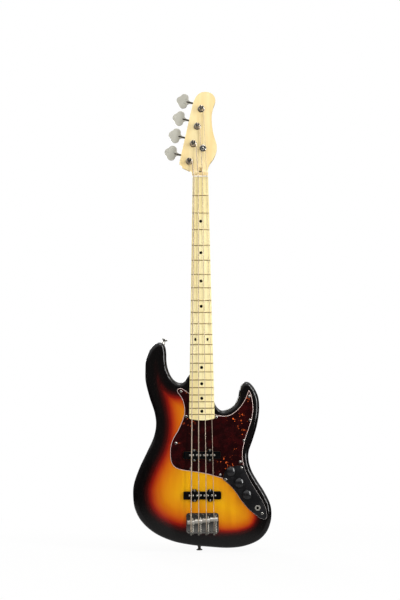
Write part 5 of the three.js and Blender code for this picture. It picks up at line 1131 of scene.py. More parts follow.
@dataclass
class Pickup:
    """A covered pickup with two poles a string."""

    place: str
    from_bridge: float
    rise: float = 8.2
    height: float = 19.0
    size: Pair = (93.0, 18.6)
    corner: float = 3.0
    ear_at: float = 19.5
    ear_size: Pair = (13.0, 30.0)
    ear_corner: float = 5.7
    ear_drop: float = 1.75
    screw_at: float = 12.15
    pole_half: float = 4.2

    @property
    def middle(self) -> float:
        """The Z of its middle."""
        return -PLAN.scale + self.from_bridge

    def blanks(self, gap: float, front: float, back: float) -> list[Piece]:
        """The cover's main block and its two ears, with a gap round them."""
        slabs = [(0, self.size, self.corner)]
        slabs += [(x, self.ear_size, self.ear_corner) for x in (-self.ear_at, self.ear_at)]
        return [
            plate("blank", rounded(x, self.middle, width + 2 * gap, height + 2 * gap, corner), front, back)
            for x, (width, height), corner in slabs
        ]

    def poles(self) -> list[float]:
        """The X of each pole."""
        spread = PLAN.bridge_pitch - PLAN.nut_pitch
        pitch = PLAN.nut_pitch + spread * (1 - self.from_bridge / PLAN.scale)
        return [(i - 1.5) * pitch + side for i in range(4) for side in (-self.pole_half, self.pole_half)]

    def build(self) -> None:
        """Builds the cover, the coil, the poles and the screws."""
        z, top, shelf = self.middle, -self.rise, -self.rise + self.ear_drop
        cover = plate(f"{self.place}_cover", rounded(0, z, *self.size, self.corner), top, top + self.height)
        bevel_at(cover, top, 1.1, 3)
        for x in (-self.ear_at, self.ear_at):
            ear = plate("ear", rounded(x, z, *self.ear_size, self.ear_corner), shelf, shelf + 7)
            combine(cover, [bevel_at(ear, shelf, 0.8, 3)], "UNION")
        screws = [(x, z + side * self.screw_at) for x in (-self.ear_at, self.ear_at) for side in (-1, 1)]
        hollow = block("hollow", (-44.9, top + 1.6, z - 7.7), (44.9, 20, z + 7.7))
        holes = [bore(2.7, -12, 0, (x, 0, z), sides=24) for x in self.poles()]
        holes += [bore(1.6, -12, 12, (x, 0, at), sides=16) for x, at in screws]
        combine(cover, [hollow, *holes])
        present(cover, BLACK_PLASTIC, [f"{self.place}_pickup_cover"])
        coil = plate(f"{self.place}_coil", rounded(0, z, 88.2, 13.8, 3), top + 1.9, top + self.height + 5)
        present(soften(coil, 0.6), COIL_WIRE, [f"{self.place}_pickup_coil"])
        one = turned("pole", [
            (2.4, 0), (2.4, top - 0.2), (2.1, top - 0.5), (1.4, top - 0.8), (0.5, top - 0.95),
        ], sides=28)
        made = [copy_of(one, f"pole_{i}", Matrix.Translation((x, 0, z))) for i, x in enumerate(self.poles())]
        bpy.data.objects.remove(one)
        present(merge(f"{self.place}_poles", made), NICKEL, [f"{self.place}_pickup_coil"])
        Screw(2.7, 1.5, 16).set_at(f"{self.place}_pickup_screws", screws, shelf, NICKEL)


PICKUPS = [Pickup("bridge", 56.2), Pickup("neck", 155.4)]


# Neck


NUT_THICK = 3.3
RETAINER_RISE = 6.6


@dataclass
class Neck:
    """The neck with its headstock in one piece, the board, frets, dots, nut and retainer."""

    head_half: float = 54.0
    head_length: float = 229.0
    front: float = -3.2
    heel: float = 112.0
    heel_back: float = 16.2
    taper: float = 34.0
    end_bulge: float = 3.0
    end_corner: float = 6.0
    board_back: float = -3.5
    retainer_z: float = 76.5
    bass: Sequence[Pair] = (
        (-0.363, -0.02), (-0.367, 0.0), (-0.395, 0.035), (-0.472, 0.066), (-0.63, 0.09), (-0.815, 0.114),
        (-0.944, 0.14), (-1.0, 0.175),
    )
    tip: Sequence[Pair] = (
        (-0.352, 0.852), (-0.278, 0.9), (-0.176, 0.945), (-0.019, 0.983), (0.148, 0.998), (0.37, 1.0),
        (0.574, 0.98), (0.704, 0.943), (0.75, 0.9), (0.713, 0.86), (0.639, 0.812), (0.583, 0.751),
        (0.565, 0.677), (0.593, 0.581), (0.667, 0.489), (0.759, 0.415), (0.8, 0.367), (0.793, 0.319),
        (0.713, 0.258), (0.602, 0.21), (0.472, 0.168), (0.394, 0.127), (0.37, 0.079), (0.369, 0.0),
        (0.366, -0.02),
    )

    def back_at(self, z: float) -> float:
        """The depth of the neck's back along the shaft."""
        return 11.4 + 3 * z / PLAN.fret_z(12)

    def section(self, z: float, front: float, back: float, power: float) -> Ring:
        """A cross-section with a flat front and a round back."""
        half, steps, ring = PLAN.board_half(min(z, 0)), 32, []
        for i in range(steps + 1):
            angle = math.pi * i / steps
            across = math.copysign(abs(math.cos(angle)) ** (2 / power), math.cos(angle))
            deep = math.sin(angle) ** (2 / power)
            ring.append((half * across, front + (back - front) * deep, z))
        return ring

    def shaft(self) -> Piece:
        """The neck from its heel to inside the headstock."""
        end, square, oval = PLAN.heel_end, 16, 2.3
        heel, free = end + self.heel, end + self.heel + self.taper
        rings = []
        levels = [end + self.heel * k / 6 for k in range(6)] + [heel + self.taper * k / 12 for k in range(12)]
        for z in levels:
            share = smoothstep(z, heel, free)
            back = self.heel_back + (self.back_at(z) - self.heel_back) * share
            rings.append(self.section(z, self.front, back, square * (oval / square) ** share))
        for z in [free * (1 - k / 24) for k in range(25)]:
            rings.append(self.section(z, self.front, self.back_at(z), oval))
        for z, front, back in ((17, 2.4, 11.7), (34, 2.4, 15.8)):
            rings.append(self.section(z, front, back, oval))
        return loft("neck_wood", rings)

    def head(self) -> Piece:
        """The headstock, cut from a blank to its side profile."""
        outline = []
        for part in (self.bass, self.tip):
            outline += open_curve([(x * self.head_half, z * self.head_length) for x, z in part], 4)
        blank = plate("head", outline, -8.9, 24)
        curve = bend_shares(10)
        ramp = [(a * a * -6.5 + (1 - a * a) * 2.1, 12.6 + t * t * 16) for a, t in curve]
        sweep = [(a * a * 16.1 + 2 * a * t * 5.7, a * a * 34 + 2 * a * t * 17 - t * t * 3) for a, t in curve]
        side = [(-3.2, -6), (-3.2, 3.6), (-6.5, 3.6), *ramp, (2.1, 235), (16.1, 235), *sweep]
        profile = loft("profile", [[(x, y, z) for y, z in side] for x in (-80, 80)])
        combine(blank, [profile], "INTERSECT")
        return soften(blank, 0.9, 2, 50)

    def build_neck(self) -> None:
        """The shaft and the headstock joined, with the holes for tuners, bolts and rod."""
        piece = combine(self.shaft(), [self.head()], "UNION")
        holes = [bore(7.9, -6, 24, (c.post_x, 0, c.post_z), sides=32) for c in PLAN.courses()]
        holes += [bore(2.7, 2.9, 24, (x, 0, z), sides=16) for x, z in PLAN.bolts()[1]]
        combine(piece, [*holes, bore(4.55, 3.65, 27, (0, 2.1, 0), Way.ALONG, 24)])
        present(piece, MAPLE, ["neck"], angle=32)

    def build_board(self) -> None:
        """The crowned fingerboard with its frets and dots."""
        end, half, r = PLAN.board_end, PLAN.board_half(PLAN.board_end), self.end_corner
        top, nut_half, low = -PLAN.gap, PLAN.board_half(-PLAN.gap), end + self.end_bulge
        curve = bend_shares(8)
        left = [(-half + t * t * r, low + r - (1 - a * a) * r) for a, t in curve]
        bulge = [(-half + r + 2 * (half - r) * t, low - 4 * a * t * self.end_bulge) for a, t in curve]
        right = [(-x, z) for x, z in reversed(left)]
        outline = [(-nut_half, top), *left, *bulge[1:-1], *right, (nut_half, top)]
        board = plate("fingerboard_wood", outline, -14, self.board_back)
        wide = 38
        xs = [-wide + 2 * wide * k / 36 for k in range(37)]
        crown = [(x, PLAN.board_drop(x) - PLAN.board_rise) for x in xs] + [(wide, 0), (-wide, 0)]
        combine(board, [loft("crown", [[(x, y, z) for x, y in crown] for z in (end - 9, 9)])], "INTERSECT")
        present(soften(board, 0.35, 2, 50), BOARD_MAPLE, ["fingerboard"])
        frets = [self.fret(number) for number in range(1, PLAN.frets + 1)]
        # The frets' yellow tint is a painted reflection of the maple board.
        present(merge("frets", frets), FRET_WIRE_PAINTED_MAPLE_REFLECTION, ["fingerboard"])
        self.dots()

    def fret(self, number: int) -> Piece:
        """One fret: a domed wire that follows the crown, its ends bevelled."""
        z, rings, low_end, run = PLAN.fret_z(number), [], 0.45, 0.9
        half = PLAN.board_half(z) - PLAN.gap
        dome = [
            (-1.2, 0.6), (1.2, 0.6), (1.2, -0.15), (0.92, -0.7), (0.5, -1.0), (0, -1.1), (-0.5, -1.0),
            (-0.92, -0.7), (-1.2, -0.15),
        ]
        inner = [(-half + 2 * half * k / 14, 1) for k in range(1, 14)]
        stops = [(-half, low_end), (-half + run, 1), *inner, (half - run, 1), (half, low_end)]
        for x, share in stops:
            base = PLAN.board_drop(x) - PLAN.board_rise
            rings.append([(x, base + y * (share if y < 0 else 1), z + across) for across, y in dome])
        return loft(f"fret_{number}", rings)

    def dots(self) -> None:
        """Position dots on the board's face and along its bass side."""
        made = []
        for number in (3, 5, 7, 9, 12, 15, 17, 19, 21):
            z = (PLAN.fret_z(number) + PLAN.fret_z(number - 1)) / 2
            for x in ((-14.3, 14.3) if number == 12 else (0,)):
                y = PLAN.board_drop(x) - PLAN.board_rise
                profile = [(3.95, y + 0.5), (3.95, y - 0.02), (3.6, y - 0.08)]
                made.append(turned("dot", profile, (x, 0, z), sides=32))
            for shift in ((-3, 3) if number == 12 else (0,)):
                x = -PLAN.board_half(z + shift)
                profile = [(1.1, 0.5), (1.1, -0.04), (0.9, -0.08)]
                made.append(turned("dot", profile, (x, -5.6, z + shift), Way.ACROSS, 20))
        present(merge("position_dots", made), DOT)

    def build_nut(self) -> None:
        """The slotted nut."""
        half, top = PLAN.board_half(0), -PLAN.board_rise - 2.4
        xs = [-half + 2 * half * k / 16 for k in range(17)]
        side = [(x, PLAN.board_drop(x) + top) for x in xs]
        side += [(half, self.board_back), (-half, self.board_back)]
        piece = loft("nut_bone", [[(x, y, z) for x, y in side] for z in (0, NUT_THICK)])
        soften(piece, 0.4, 3, 50)
        slots = []
        for c in PLAN.courses():
            r = c.radius + PLAN.gap
            slots.append(bore(r, -2, 6, (c.nut_x, c.nut_y, 0), Way.ALONG, 24))
            slots.append(block("slot", (c.nut_x - r, -20, -2), (c.nut_x + r, c.nut_y, 6)))
        combine(piece, slots)
        present(piece, BONE, ["nut"])

    def build_retainer(self) -> None:
        """The round string retainer with its slotted screw."""
        top, face, x, z = PLAN.head_face - RETAINER_RISE, PLAN.head_face - PLAN.gap, 7, self.retainer_z
        piece = turned("retainer_disc", [
            (1.5, 9), (1.5, face), (3, face), (3, top), (8.3, top), (9, top - 0.8), (9, top - 1.4),
            (8.3, top - 2.2), (7.2, top - 2.6), (5.0, top - 2.3), (3.2, top - 2.2), (3.0, top - 2.9),
            (2.4, top - 3.5), (1.0, top - 3.8),
        ], (x, 0, z), sides=48)
        combine(piece, [block("slot", (x - 3.3, top - 5, z - 0.4), (x + 3.3, top - 3.0, z + 0.4))])
        present(piece, CHROME, ["string_retainer"])

    def build(self) -> None:
        """Builds everything on the neck."""
        self.build_neck()
        self.build_board()
        self.build_nut()
        self.build_retainer()


# Tuners


POST_RISE = 19.0
POST_RADIUS = 4.8
POST_SLOT = 7.5


@dataclass
class Tuner:
    """An open-gear tuner in its own frame: local -X points out to the key."""

    plate_front: float = 16.4
    plate_back: float = 18.4
    module: float = 1.5
    teeth: int = 16
    worm_radius: float = 5.4
    worm_y: float = 25.6
    worm_z: float = 17.4
    lobe: float = 11.0
    spread: float = 9.0
    key_reach: float = 53.0
    key_neck: float = 18.0
    key_neck_half: float = 3.6
    ear_radius: float = 4.6
    post_hole: float = 6.35

    def plate_piece(self) -> Piece:
        """The mounting plate with its two ears."""
        piece = plate("plate", rounded(-2, 4.25, 32, 36.5, 4), self.plate_front, self.plate_back)
        bevel_at(piece, self.plate_back, 0.6, 2)
        y, z, r, root = self.worm_y, self.worm_z, self.ear_radius, self.plate_front + 0.5
        turns = [math.pi * (k / 12 - 0.5) for k in range(13)]
        side = [(y + r * math.cos(t), z + r * math.sin(t)) for t in turns] + [(root, z + r), (root, z - r)]
        ears = [loft("ear", [[(at, *point) for point in side] for at in (x, x + 2.2)]) for x in (-11.2, 9)]
        combine(piece, ears, "UNION")
        combine(piece, [bore(2.75, -24, 24, (0, y, z), Way.ACROSS, 24), bore(self.post_hole, 9, 25)])
        screw = Screw(2.6, 1.2, 6).model("plate_screw")
        flip = Matrix.Rotation(math.pi, 4, "X")
        places = [(x, self.plate_back, z) for z in (-10.5, 19) for x in (-14.5, 10.5)]
        heads = [copy_of(screw, "head", Matrix.Translation(place) @ flip) for place in places]
        bpy.data.objects.remove(screw)
        return merge("plate", [piece, *heads])

    def bushing_piece(self) -> Piece:
        """The bushing that the post turns in."""
        back = PLAN.head_face - PLAN.gap
        piece = turned("bushing", [
            (7.6, back + 8), (7.6, back), (9.3, back), (9.2, back - 0.7), (8.7, back - 1.25),
            (7.9, back - 1.5),
        ])
        return combine(piece, [bore(self.post_hole, -6, 14)])

    def post_piece(self) -> Piece:
        """The slotted post and its gear."""
        tip, low = PLAN.head_face - POST_RISE, PLAN.head_face - 2.1
        piece = turned("post", [
            (5.2, tip), (5.8, tip + 0.35), (6, tip + 0.9), (6, tip + 4.2), (5.5, tip + 4.8),
            (4.95, tip + 5.4), (POST_RADIUS, tip + 6.2), (POST_RADIUS, low - 1.2), (5.2, low - 0.5),
            (6, low + 0.3), (6, 18.7), (7, 18.7), (7, 28.8), (6.5, 29.1),
        ])
        middle_radius, pitch, teeth = self.module * self.teeth / 2, math.pi * self.module, []
        root, outer = middle_radius - 1.3 * self.module, middle_radius + self.module
        rise = [(root, 0.255), (outer - 0.4, 0.14), (outer, 0.1)]
        flank = [(radius, -share) for radius, share in rise] + rise[::-1]
        for tooth in range(self.teeth):
            middle = TURN * tooth / self.teeth
            for radius, share in flank:
                angle = middle + share * pitch / radius
                teeth.append((radius * math.sin(angle), radius * math.cos(angle)))
        gear = plate("gear", teeth, self.worm_y - 2, self.worm_y + 2)
        combine(piece, [soften(gear, 0.2, 1, 60)], "UNION")
        return combine(piece, [block("slot", (-1.7, tip - 6, -12), (1.7, tip + POST_SLOT, 12))])

    def worm_piece(self) -> Piece:
        """The key's shaft with its worm."""
        y, z = self.worm_y, self.worm_z
        piece = turned("worm", [
            (1.9, 9.5 - self.key_reach), (2.6, 11.5 - self.key_reach), (2.4, -15.5), (3.4, -15),
            (3.4, -13), (2.4, -12.5), (2.4, -8.7), (3.4, -8.6), (3.4, 8.6), (2.4, 8.7), (2.4, 11.5),
            (3.6, 11.5), (3.6, 12.5), (3.2, 12.7),
        ], (0, y, z), Way.ACROSS, 24)
        turns, steps = 2.5, 16
        pitch, crest = math.pi * self.module, self.worm_radius + self.module
        profile = [(-0.27 * pitch, 2.4), (0.27 * pitch, 2.4), (0.095 * pitch, crest), (-0.095 * pitch, crest)]
        rings = []
        for step in range(int(turns * steps) + 1):
            angle = TURN * step / steps
            x = pitch * (step / steps - turns / 2)
            rings.append([(x + a, y + r * math.cos(angle), z + r * math.sin(angle)) for a, r in profile])
        return combine(piece, [loft("thread", rings)], "UNION")

    def in_key(self, x: float, z: float) -> bool:
        """Whether a point of the key's plane is on its face."""
        near, far = self.lobe / 4 - self.key_reach, -self.lobe / 2 - self.key_reach
        discs = (
            (near, -self.spread, self.lobe), (near, self.spread, self.lobe), (far, 0, self.lobe),
            (-self.key_reach - 0.5, 0, 1.3 * self.lobe),
        )
        if any(math.hypot(x - at, z - side) <= radius for at, side, radius in discs):
            return True
        root, end = self.lobe / 2 - self.key_reach, self.key_neck - self.key_reach
        if x < root or x > end + 5:
            return False
        wide, narrow = self.spread + self.lobe / 2, self.key_neck_half
        if x < end:
            return abs(z) <= wide + (narrow - wide) * (x - root) / (end - root)
        return abs(z) <= narrow - 0.24 * (x - end)

    def key_piece(self) -> Piece:
        """The key's flat face of three lobes, with the neck that takes the shaft."""
        y, z, middle, outline = self.worm_y, self.worm_z, self.key_reach, []
        for k in range(180):
            c, s = math.cos(k * math.pi / 90), math.sin(k * math.pi / 90)
            reach = max(r / 10 for r in range(50, 400) if self.in_key(c * r / 10 - middle, s * r / 10))
            outline.append((c * reach - middle, z + s * reach))
        return soften(plate("paddle", outline, y - 1.7, y + 1.7), 0.6, 3, 50)

    def build(self) -> None:
        """Models one tuner, then copies it to each string."""
        parts = {
            "tuner_plate": (self.plate_piece(), None), "tuner_bushing": (self.bushing_piece(), None),
            "tuner_post": (self.post_piece(), "tuner_post"), "tuner_key": (self.key_piece(), "tuner_key"),
            "tuner_worm": (self.worm_piece(), "tuner_key"),
        }
        for course in PLAN.courses():
            turn = Matrix.Rotation(PLAN.tuner_angle, 4, "Y")
            place = Matrix.Translation((course.post_x, 0, course.post_z)) @ turn
            for name, (part, body) in parts.items():
                piece = copy_of(part, f"{name}_{course.name}_metal", place)
                ridden = f"{body}_{course.name}" if body else "instrument"
                # The keys' pale half-diffuse nickel stands in for the bright reflection of chrome keys, a
                # painted reflection.
                # The worm piece also carries the key's shaft, whose darkened steel is a painted dark
                # reflection; the worm itself is plain steel.
                look = {"tuner_worm": SHADE_PAINTED_STEEL, "tuner_key": KEY_NICKEL_PAINTED_REFLECTION}.get(name, CHROME)
                present(piece, look, [f"{body or name}_{course.name}"], ridden)
        for part, _ in parts.values():
            bpy.data.objects.remove(part)


# Bridge


@dataclass
class Bridge:
    """The bridge: a bent plate, four saddles on screws with springs."""

    half: float = 40.0
    top: float = -850.5
    bottom: float = -899.0
    lip: float = 2.4
    corner: float = 6.0
    wall: float = 1.6
    wall_front: float = -12.8
    floor: float = -2.3
    hole_y: float = -4.2
    screw_aside: float = 4.5
    screw_y: float = -8.6
    screw_hole: float = 1.75
    barrel: float = 4.8
    spring: float = 2.17
    spring_wire: float = 0.42

    def plate_piece(self) -> None:
        """The plate with its side walls and rear lip."""
        width = 2 * self.half
        outline = rounded(0, (self.top + self.bottom) / 2, width, self.top - self.bottom, self.corner, 8)
        piece = plate("bridge_tray", outline, self.wall_front, -PLAN.gap)
        low, high = self.bottom + self.lip, self.top + 12
        inside = rounded(0, (low + high) / 2, width - 2 * self.wall, high - low, self.corner - self.wall, 8)
        inner = plate("inner", inside, -20, self.floor)
        front = block("front", (-50, -20, self.bottom + 29), (50, self.floor, self.top + 9))
        sides = block("sides", (-50, -20, low), (50, -7, self.top + 9))
        combine(piece, [inner, front, sides])
        holes = []
        for c in PLAN.courses():
            for radius, x, y in (
                (c.radius + 0.6, c.bridge_x, self.hole_y),
                (self.screw_hole, c.bridge_x + self.screw_aside, self.screw_y),
            ):
                holes.append(bore(radius, -3, 6, (x, y, self.bottom), Way.ALONG, 16))
        combine(piece, holes)
        soften(piece, 0.35, 2, 50)
        present(piece, CHROME, ["bridge_plate"])
        places = [(x, self.top - 5.5) for x in (-32, -16, 0, 16, 32)]
        # These screws are darkened steel: painted shade and a painted dark reflection in place of bright
        # metal.
        Screw(3.4, 1.6, 12).set_at("bridge_screws", places, self.floor, SHADE_PAINTED_STEEL)

    def saddle_piece(self, course: Course) -> None:
        """A barrel saddle with its string groove, height screws and end chamfers."""
        x, y, z, name = course.bridge_x, course.saddle_y, course.saddle_z, course.name
        piece = turned(f"saddle_{name}_barrel", [
            (4.3, -9.2), (self.barrel, -8.7), (self.barrel, 8.7), (4.3, 9.2),
        ], (x, y, z), Way.ACROSS, 40)
        r, floor = course.radius + PLAN.gap, y - 4.2
        groove = block("groove", (x - r, floor - 6, z - 6), (x + r, floor, z + 6))
        hole = bore(self.screw_hole, -10, 10, (x + self.screw_aside, self.screw_y, z), Way.ALONG, 20)
        combine(piece, [groove, hole])
        for side in (-7.7, 7.7):
            at = (x + side, 0, z)
            screw = turned("height_screw", [
                (1.0, -2.6), (1.3, -2.9), (1.3, y - 4.3), (1.1, y - 4.6),
            ], at, sides=20)
            combine(piece, [combine(screw, [bore(0.7, y - 6, y - 3.4, at, sides=6)])], "UNION")
        present(piece, STEEL, [f"saddle_{name}"], f"saddle_{name}")

    def screw_piece(self, course: Course) -> None:
        """The intonation screw: cross-slotted head and threaded shaft."""
        node, at = f"intonation_screw_{course.name}", (course.bridge_x + self.screw_aside, self.screw_y, 0)
        head, end = self.bottom - PLAN.gap, course.saddle_z + self.barrel + 5.5
        profile = [(1.0, head - 2.4), (2.0, head - 2.1), (2.6, head - 1.4), (2.6, head), (1.4, head)]
        turns = int((end - head - 1) / 0.4)
        for k in range(turns):
            profile.append((1.4 if k % 2 else 1.22, head + 0.6 + (end - head - 1) * k / turns))
        profile.append((0.9, end))
        piece = turned(f"intonation_{course.name}_screw", profile, at, Way.ALONG, 16)
        combine(piece, cross(0.3, 1.6, head - 4, head - 1.5, at, Way.ALONG))
        present(piece, NICKEL, [node], node)

    def spring_piece(self, course: Course) -> None:
        """The spring between the lip and the saddle."""
        x, name, clear = course.bridge_x + self.screw_aside, course.name, self.spring_wire + PLAN.gap
        low, high = self.bottom + self.lip + clear, course.saddle_z - self.barrel - clear
        curls, steps, path = 4, 20, []
        for step in range(curls * steps + 1):
            angle = TURN * step / steps
            z = low + (high - low) * step / (curls * steps)
            path.append((x + self.spring * math.cos(angle), self.screw_y + self.spring * math.sin(angle), z))
        piece = tube(f"intonation_{name}_spring", path, self.spring_wire, 8)
        present(piece, STEEL, [f"intonation_spring_{name}"], None)
        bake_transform(piece)

    def build(self) -> None:
        """Builds the plate, then the pieces of each string."""
        self.plate_piece()
        for course in PLAN.courses():
            self.saddle_piece(course)
            self.screw_piece(course)
            self.spring_piece(course)


# Strings


@dataclass
class Strings:
    """Four wound strings from their ball ends to the posts."""

    bridge: Bridge
    arc_steps: int = 10
    loop_steps: int = 32

    def saddle_arc(self, c: Course) -> list[Point]:
        """The bend over the saddle, from the bridge's side to the nut's."""
        ride, center = self.bridge.barrel - 0.6 + PLAN.gap + c.radius, (c.saddle_z, c.saddle_y)
        leave = touching(center, ride, (self.bridge.bottom + self.bridge.lip, self.bridge.hole_y), 1) % TURN
        arrive = touching(center, ride, (0, c.nut_y), -1) % TURN
        turns = [leave + (arrive - leave) * k / self.arc_steps for k in range(self.arc_steps + 1)]
        return [(c.bridge_x, c.saddle_y + ride * math.sin(t), c.saddle_z + ride * math.cos(t)) for t in turns]

    def head_path(self, c: Course) -> list[Point]:
        """From the nut to just before the post, under the retainer for the two treble strings."""
        path = [(c.nut_x, c.nut_y, 0), (c.nut_x, c.nut_y, NUT_THICK)]
        if c.order >= 2:
            y, z = PLAN.head_face - RETAINER_RISE + PLAN.gap + c.radius, Neck.retainer_z
            wrap_x = c.post_x + POST_RADIUS + 2 * c.radius
            x = c.nut_x + (wrap_x - c.nut_x) * z / c.post_z
            path += [(x, y, z - 3), (x, y, z + 3)]
        return path

    def wraps(self, c: Course, last: Sequence[float]) -> list[Point]:
        """The turns on the post and the end tucked in its slot."""
        wrap, low = POST_RADIUS + PLAN.gap + c.radius, PLAN.head_face - 2.7 - c.radius
        start = touching((c.post_x, c.post_z), wrap, (last[0], last[2]), 1)
        pitch, slot = 2 * c.radius + 0.5, math.pi / 2 - PLAN.tuner_angle
        start = (start + math.pi) % TURN - math.pi
        full = TURN * c.wraps + slot - start
        steps = max(8, round(self.loop_steps * full / TURN))
        stops = []
        for step in range(steps + 1):
            turn = full * step / steps
            stops.append((wrap, start + turn, low - pitch * turn / TURN))
        tucked = PLAN.head_face - POST_RISE + POST_SLOT - PLAN.gap - c.radius
        stops += [(wrap, slot, tucked), (0.3, slot, tucked)]
        return [(c.post_x + reach * math.cos(t), y, c.post_z + reach * math.sin(t)) for reach, t, y in stops]

    def build_one(self, c: Course) -> None:
        """The ball, the tail, the speaking length and the wraps of one string."""
        arc, head, middle = self.saddle_arc(c), self.head_path(c), self.arc_steps // 2
        wraps = self.wraps(c, head[-1])
        x, y, ball_top = c.bridge_x, self.bridge.hole_y, self.bridge.bottom - PLAN.gap
        node, body = [f"string_{c.name}"], f"saddle_{c.name}"
        ball = turned(f"string_{c.name}_ball", [
            (2.2, -5), (2.7, -4.8), (2.8, -4.2), (2.8, -3.2), (2.3, -2.8), (2.3, -2.2), (2.8, -1.8),
            (2.8, -0.5), (2.5, 0),
        ], (x, y, ball_top), Way.ALONG, 28)
        present(ball, NICKEL, node)
        lip = (x, y, self.bridge.bottom + self.bridge.lip)
        tail = tube(f"string_{c.name}_tail", [(x, y, ball_top - 0.5), lip, *arc[:middle + 1]], c.radius)
        present(tail, WOUND, node, None)
        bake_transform(tail)
        near = Vector(wraps[0]).lerp(Vector(head[-1]), 0.02)
        speaking = tube(f"string_{c.name}_length", [*arc[middle:], *head, tuple(near)], c.radius)
        present(speaking, WOUND, node, None)
        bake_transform(speaking)
        wound = tube(f"string_{c.name}_wraps", [tuple(near), *wraps], c.radius)
        present(wound, WOUND, node, f"tuner_post_{c.name}")

    def build(self) -> None:
        """Builds the four strings."""
        for course in PLAN.courses():
            self.build_one(course)


# Back hardware and strap buttons


@dataclass
class Hardware:
    """The neck plate with its bolts, and the strap buttons."""

    plate_front: float = 44.3
    plate_back: float = 46.3

    def neck_plate(self) -> None:
        """The plate behind the heel and its four bolts."""
        middle, places = PLAN.bolts()
        piece = plate("neck_plate_metal", rounded(0, middle, 51, 64, 5, 8), self.plate_front, self.plate_back)
        bevel_at(piece, self.plate_back, 0.7, 3)
        combine(piece, [bore(Body.bolt_hole, 40, 50, (x, 0, z), sides=24) for x, z in places])
        present(piece, CHROME, ["neck_plate"])
        seat = self.plate_back + PLAN.gap
        bolt = turned("bolt", [
            (0.4, 3.2), (2.4, 5.6), (2.4, seat), (4.6, seat), (4.55, seat + 0.7), (4.1, seat + 1.5),
            (3.1, seat + 2.1), (1.2, seat + 2.4),
        ], sides=32)
        combine(bolt, cross(0.5, 2.7, seat + 1, seat + 4))
        for number, (x, z) in enumerate(places, 1):
            turn = Matrix.Translation((x, 0, z)) @ Matrix.Rotation(0.5 * number, 4, "Y")
            present(copy_of(bolt, f"bolt_{number}", turn), CHROME, [f"neck_bolt_{number}"])
        bpy.data.objects.remove(bolt)

    def buttons(self) -> None:
        """The two strap buttons with their screws."""
        button = turned("button", [
            (0.5, -18.9), (1.7, -17.2), (1.7, -0.9), (5.4, -0.9), (5.2, 0.6), (4.2, 2.6), (3.6, 4.4),
            (3.6, 7.2), (4.4, 8.4), (6.2, 9.2), (7.3, 9.6), (7.6, 10.4), (7.4, 11.4), (6.6, 12), (3.6, 12),
            (3.4, 11.6), (3.1, 10.9), (2.2, 11.0), (1.0, 11.2),
        ], way=Way.ALONG)
        combine(button, cross(0.4, 1.7, 10.6, 13, way=Way.ALONG))
        for name, share, tilt, look in (
            ("horn_strap_button", (-0.563, 0.005), math.radians(25), CHROME),
            # The end button is darkened steel, painted shade at the body's bottom, while the horn's button of
            # the same metal stays chrome.
            ("end_strap_button", (-0.044, 0.9885), math.pi, SHADE_PAINTED_STEEL),
        ):
            x, z = PLAN.on_body(share)
            place = Matrix.Translation((x, PLAN.body_depth / 2, z)) @ Matrix.Rotation(tilt, 4, "Y")
            present(copy_of(button, f"{name}_metal", place), look, [name])
        bpy.data.objects.remove(button)

    def hidden_nodes(self) -> None:
        """Gives the CAD pieces that stay inside the body their own finish."""
        for name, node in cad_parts.items():
            if not node.hide_render:
                node.data.materials.clear()
                node.data.materials.append(SHADE_PAINTED_STEEL.material())
                LOG.info("kept CAD piece: %s", name)

    def build(self) -> None:
        """Builds the hardware."""
        self.neck_plate()
        self.buttons()
        self.hidden_nodes()


# Studio


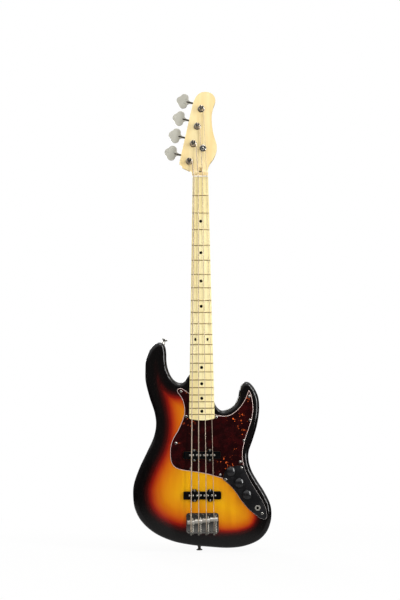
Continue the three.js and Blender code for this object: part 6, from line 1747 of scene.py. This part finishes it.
@dataclass
class Studio:
    """The camera at the photograph's place, soft lights, a pale floor and backdrop."""

    eye: tuple[float, float, float] = (-0.0542, -2.7960, -0.6680)
    pitch: float = -0.1246
    yaw: float = 0.0184
    roll: float = -0.0061
    focal: float = 1108.7
    image_height: float = 600.0
    floor_z: float = -0.946
    floor_radius: float = 2.5
    floor_share: float = 0.92
    ambient: float = 0.42

    def camera(self) -> None:
        """The camera."""
        level = math.cos(self.pitch)
        forward = Vector((math.sin(self.yaw) * level, math.cos(self.yaw) * level, -math.sin(self.pitch)))
        right = Vector((math.cos(self.yaw), -math.sin(self.yaw), 0))
        up = right.cross(forward)
        c, s = math.cos(self.roll), math.sin(self.roll)
        axes = (right * c + up * s, up * c - right * s, -forward)
        deselect()
        bpy.ops.object.camera_add(location=self.eye)
        eye, film = bpy.context.object, 36
        eye.data.sensor_fit, eye.data.sensor_height, eye.data.sensor_width = "VERTICAL", film, film
        eye.data.lens = film * self.focal / self.image_height
        eye.data.clip_start, eye.data.clip_end = 0.05, 60
        eye.matrix_world = Matrix.Translation(self.eye) @ Matrix(axes).transposed().to_4x4()
        bpy.context.scene.camera = eye

    def lamp(self, name: str, place: Sequence[float], aim: Sequence[float], size: Pair, power: float,
             mirrored: bool = False) -> None:
        """A soft lamp that faces a point.

        Args:
            name: the lamp's name.
            place: where it hangs.
            aim: the point that it faces.
            size: its width and height.
            power: its power in watts.
            mirrored: whether glossy surfaces show it.
        """
        deselect()
        bpy.ops.object.light_add(type="AREA", location=place)
        lamp = bpy.context.object
        lamp.name, lamp.data.shape, lamp.data.energy = name, "RECTANGLE", power
        lamp.data.size, lamp.data.size_y = size
        lamp.rotation_euler = (Vector(aim) - Vector(place)).to_track_quat("-Z", "Y").to_euler()
        lamp.visible_glossy = mirrored

    def rays(self, tree: Tree) -> tuple[Socket, Socket]:
        """Whether the camera looks straight or through glass, and whether a glossy surface does."""
        path = tree.add("LightPath").outputs
        return tree.math("MAXIMUM", path["Is Camera Ray"], path["Is Transmission Ray"]), path["Is Glossy Ray"]

    def shell(self) -> None:
        """The floor, a wide disc under the bass."""
        deselect()
        bpy.ops.mesh.primitive_circle_add(
            vertices=96, radius=self.floor_radius, fill_type="NGON", location=(0, 0, self.floor_z),
        )
        floor = bpy.context.object
        floor.name = "floor"
        material = bpy.data.materials.new("floor_paper")
        material.use_nodes = True
        tree = Tree(material.node_tree)
        seen, mirrored = self.rays(tree)
        away = tree.add("VectorMath", {0: tree.place()}, operation="LENGTH").outputs["Value"]
        near = tree.span(away, 0.3, 1.3, self.floor_share, 1.0)
        paper = tree.add("BsdfPrincipled", {"Base Color": rgb("f4f4f2"), "Roughness": 0.9})
        level = tree.math("MAXIMUM", seen, tree.span(away, 0.3, 0.9, 0.35, 0.03))
        glow = tree.add("Emission", {"Color": (1, 1, 1, 1), "Strength": level})
        share = tree.math("MAXIMUM", tree.math("MULTIPLY", seen, near), mirrored)
        both = tree.add("MixShader", {0: share, 1: paper.outputs[0], 2: glow.outputs[0]})
        tree.add("OutputMaterial", {"Surface": both.outputs[0]})
        floor.data.materials.append(material)

    def world(self) -> None:
        """A white background over a dimmer room, dark at eye level and light above for glossy surfaces."""
        world = bpy.data.worlds.new("studio")
        world.use_nodes = True
        bpy.context.scene.world = world
        tree = Tree(world.node_tree)
        seen, glossy = self.rays(tree)
        rise = tree.part(tree.add("TexCoord").outputs["Generated"], "Z")
        mirrored = tree.span(rise, 0.2, 0.6, 0.07, 0.85)
        room = tree.add("MapRange", {"Value": glossy, "To Min": self.ambient, "To Max": mirrored}).outputs[0]
        strength = tree.math("MAXIMUM", seen, room)
        background = tree.add("Background", {"Color": (1, 1, 1, 1), "Strength": strength})
        tree.add("OutputWorld", {"Surface": background.outputs[0]})

    def build(self) -> None:
        """Sets up the studio."""
        self.camera()
        self.lamp("key_light", (1.9, -1.7, 0.25), (0, 0, -0.1), (0.5, 2.3), 42, True)
        self.lamp("fill_light", (-1.8, -2.2, 0.2), (0, 0, -0.5), (1.6, 1.6), 18)
        self.lamp("top_light", (0.3, -0.6, 2.0), (0, 0, -0.2), (1.2, 1.2), 22, True)
        self.lamp("back_light", (-0.8, 2.2, 0.6), (0, 0, -0.5), (0.6, 1.7), 24, True)
        self.shell()
        self.world()
        bpy.context.scene.view_settings.view_transform = "Standard"


def main() -> None:
    """Builds the bass piece by piece, then the studio."""
    logging.basicConfig(level=logging.INFO, format="%(message)s")
    bridge = Bridge()
    makers = (Body(), Guard(), ControlPlate(), *PICKUPS, Neck(), Tuner(), bridge, Strings(bridge), Hardware())
    for maker in makers:
        LOG.info("building: %s", type(maker).__name__)
        maker.build()
    Studio().build()


if __name__ == "__main__":
    main()
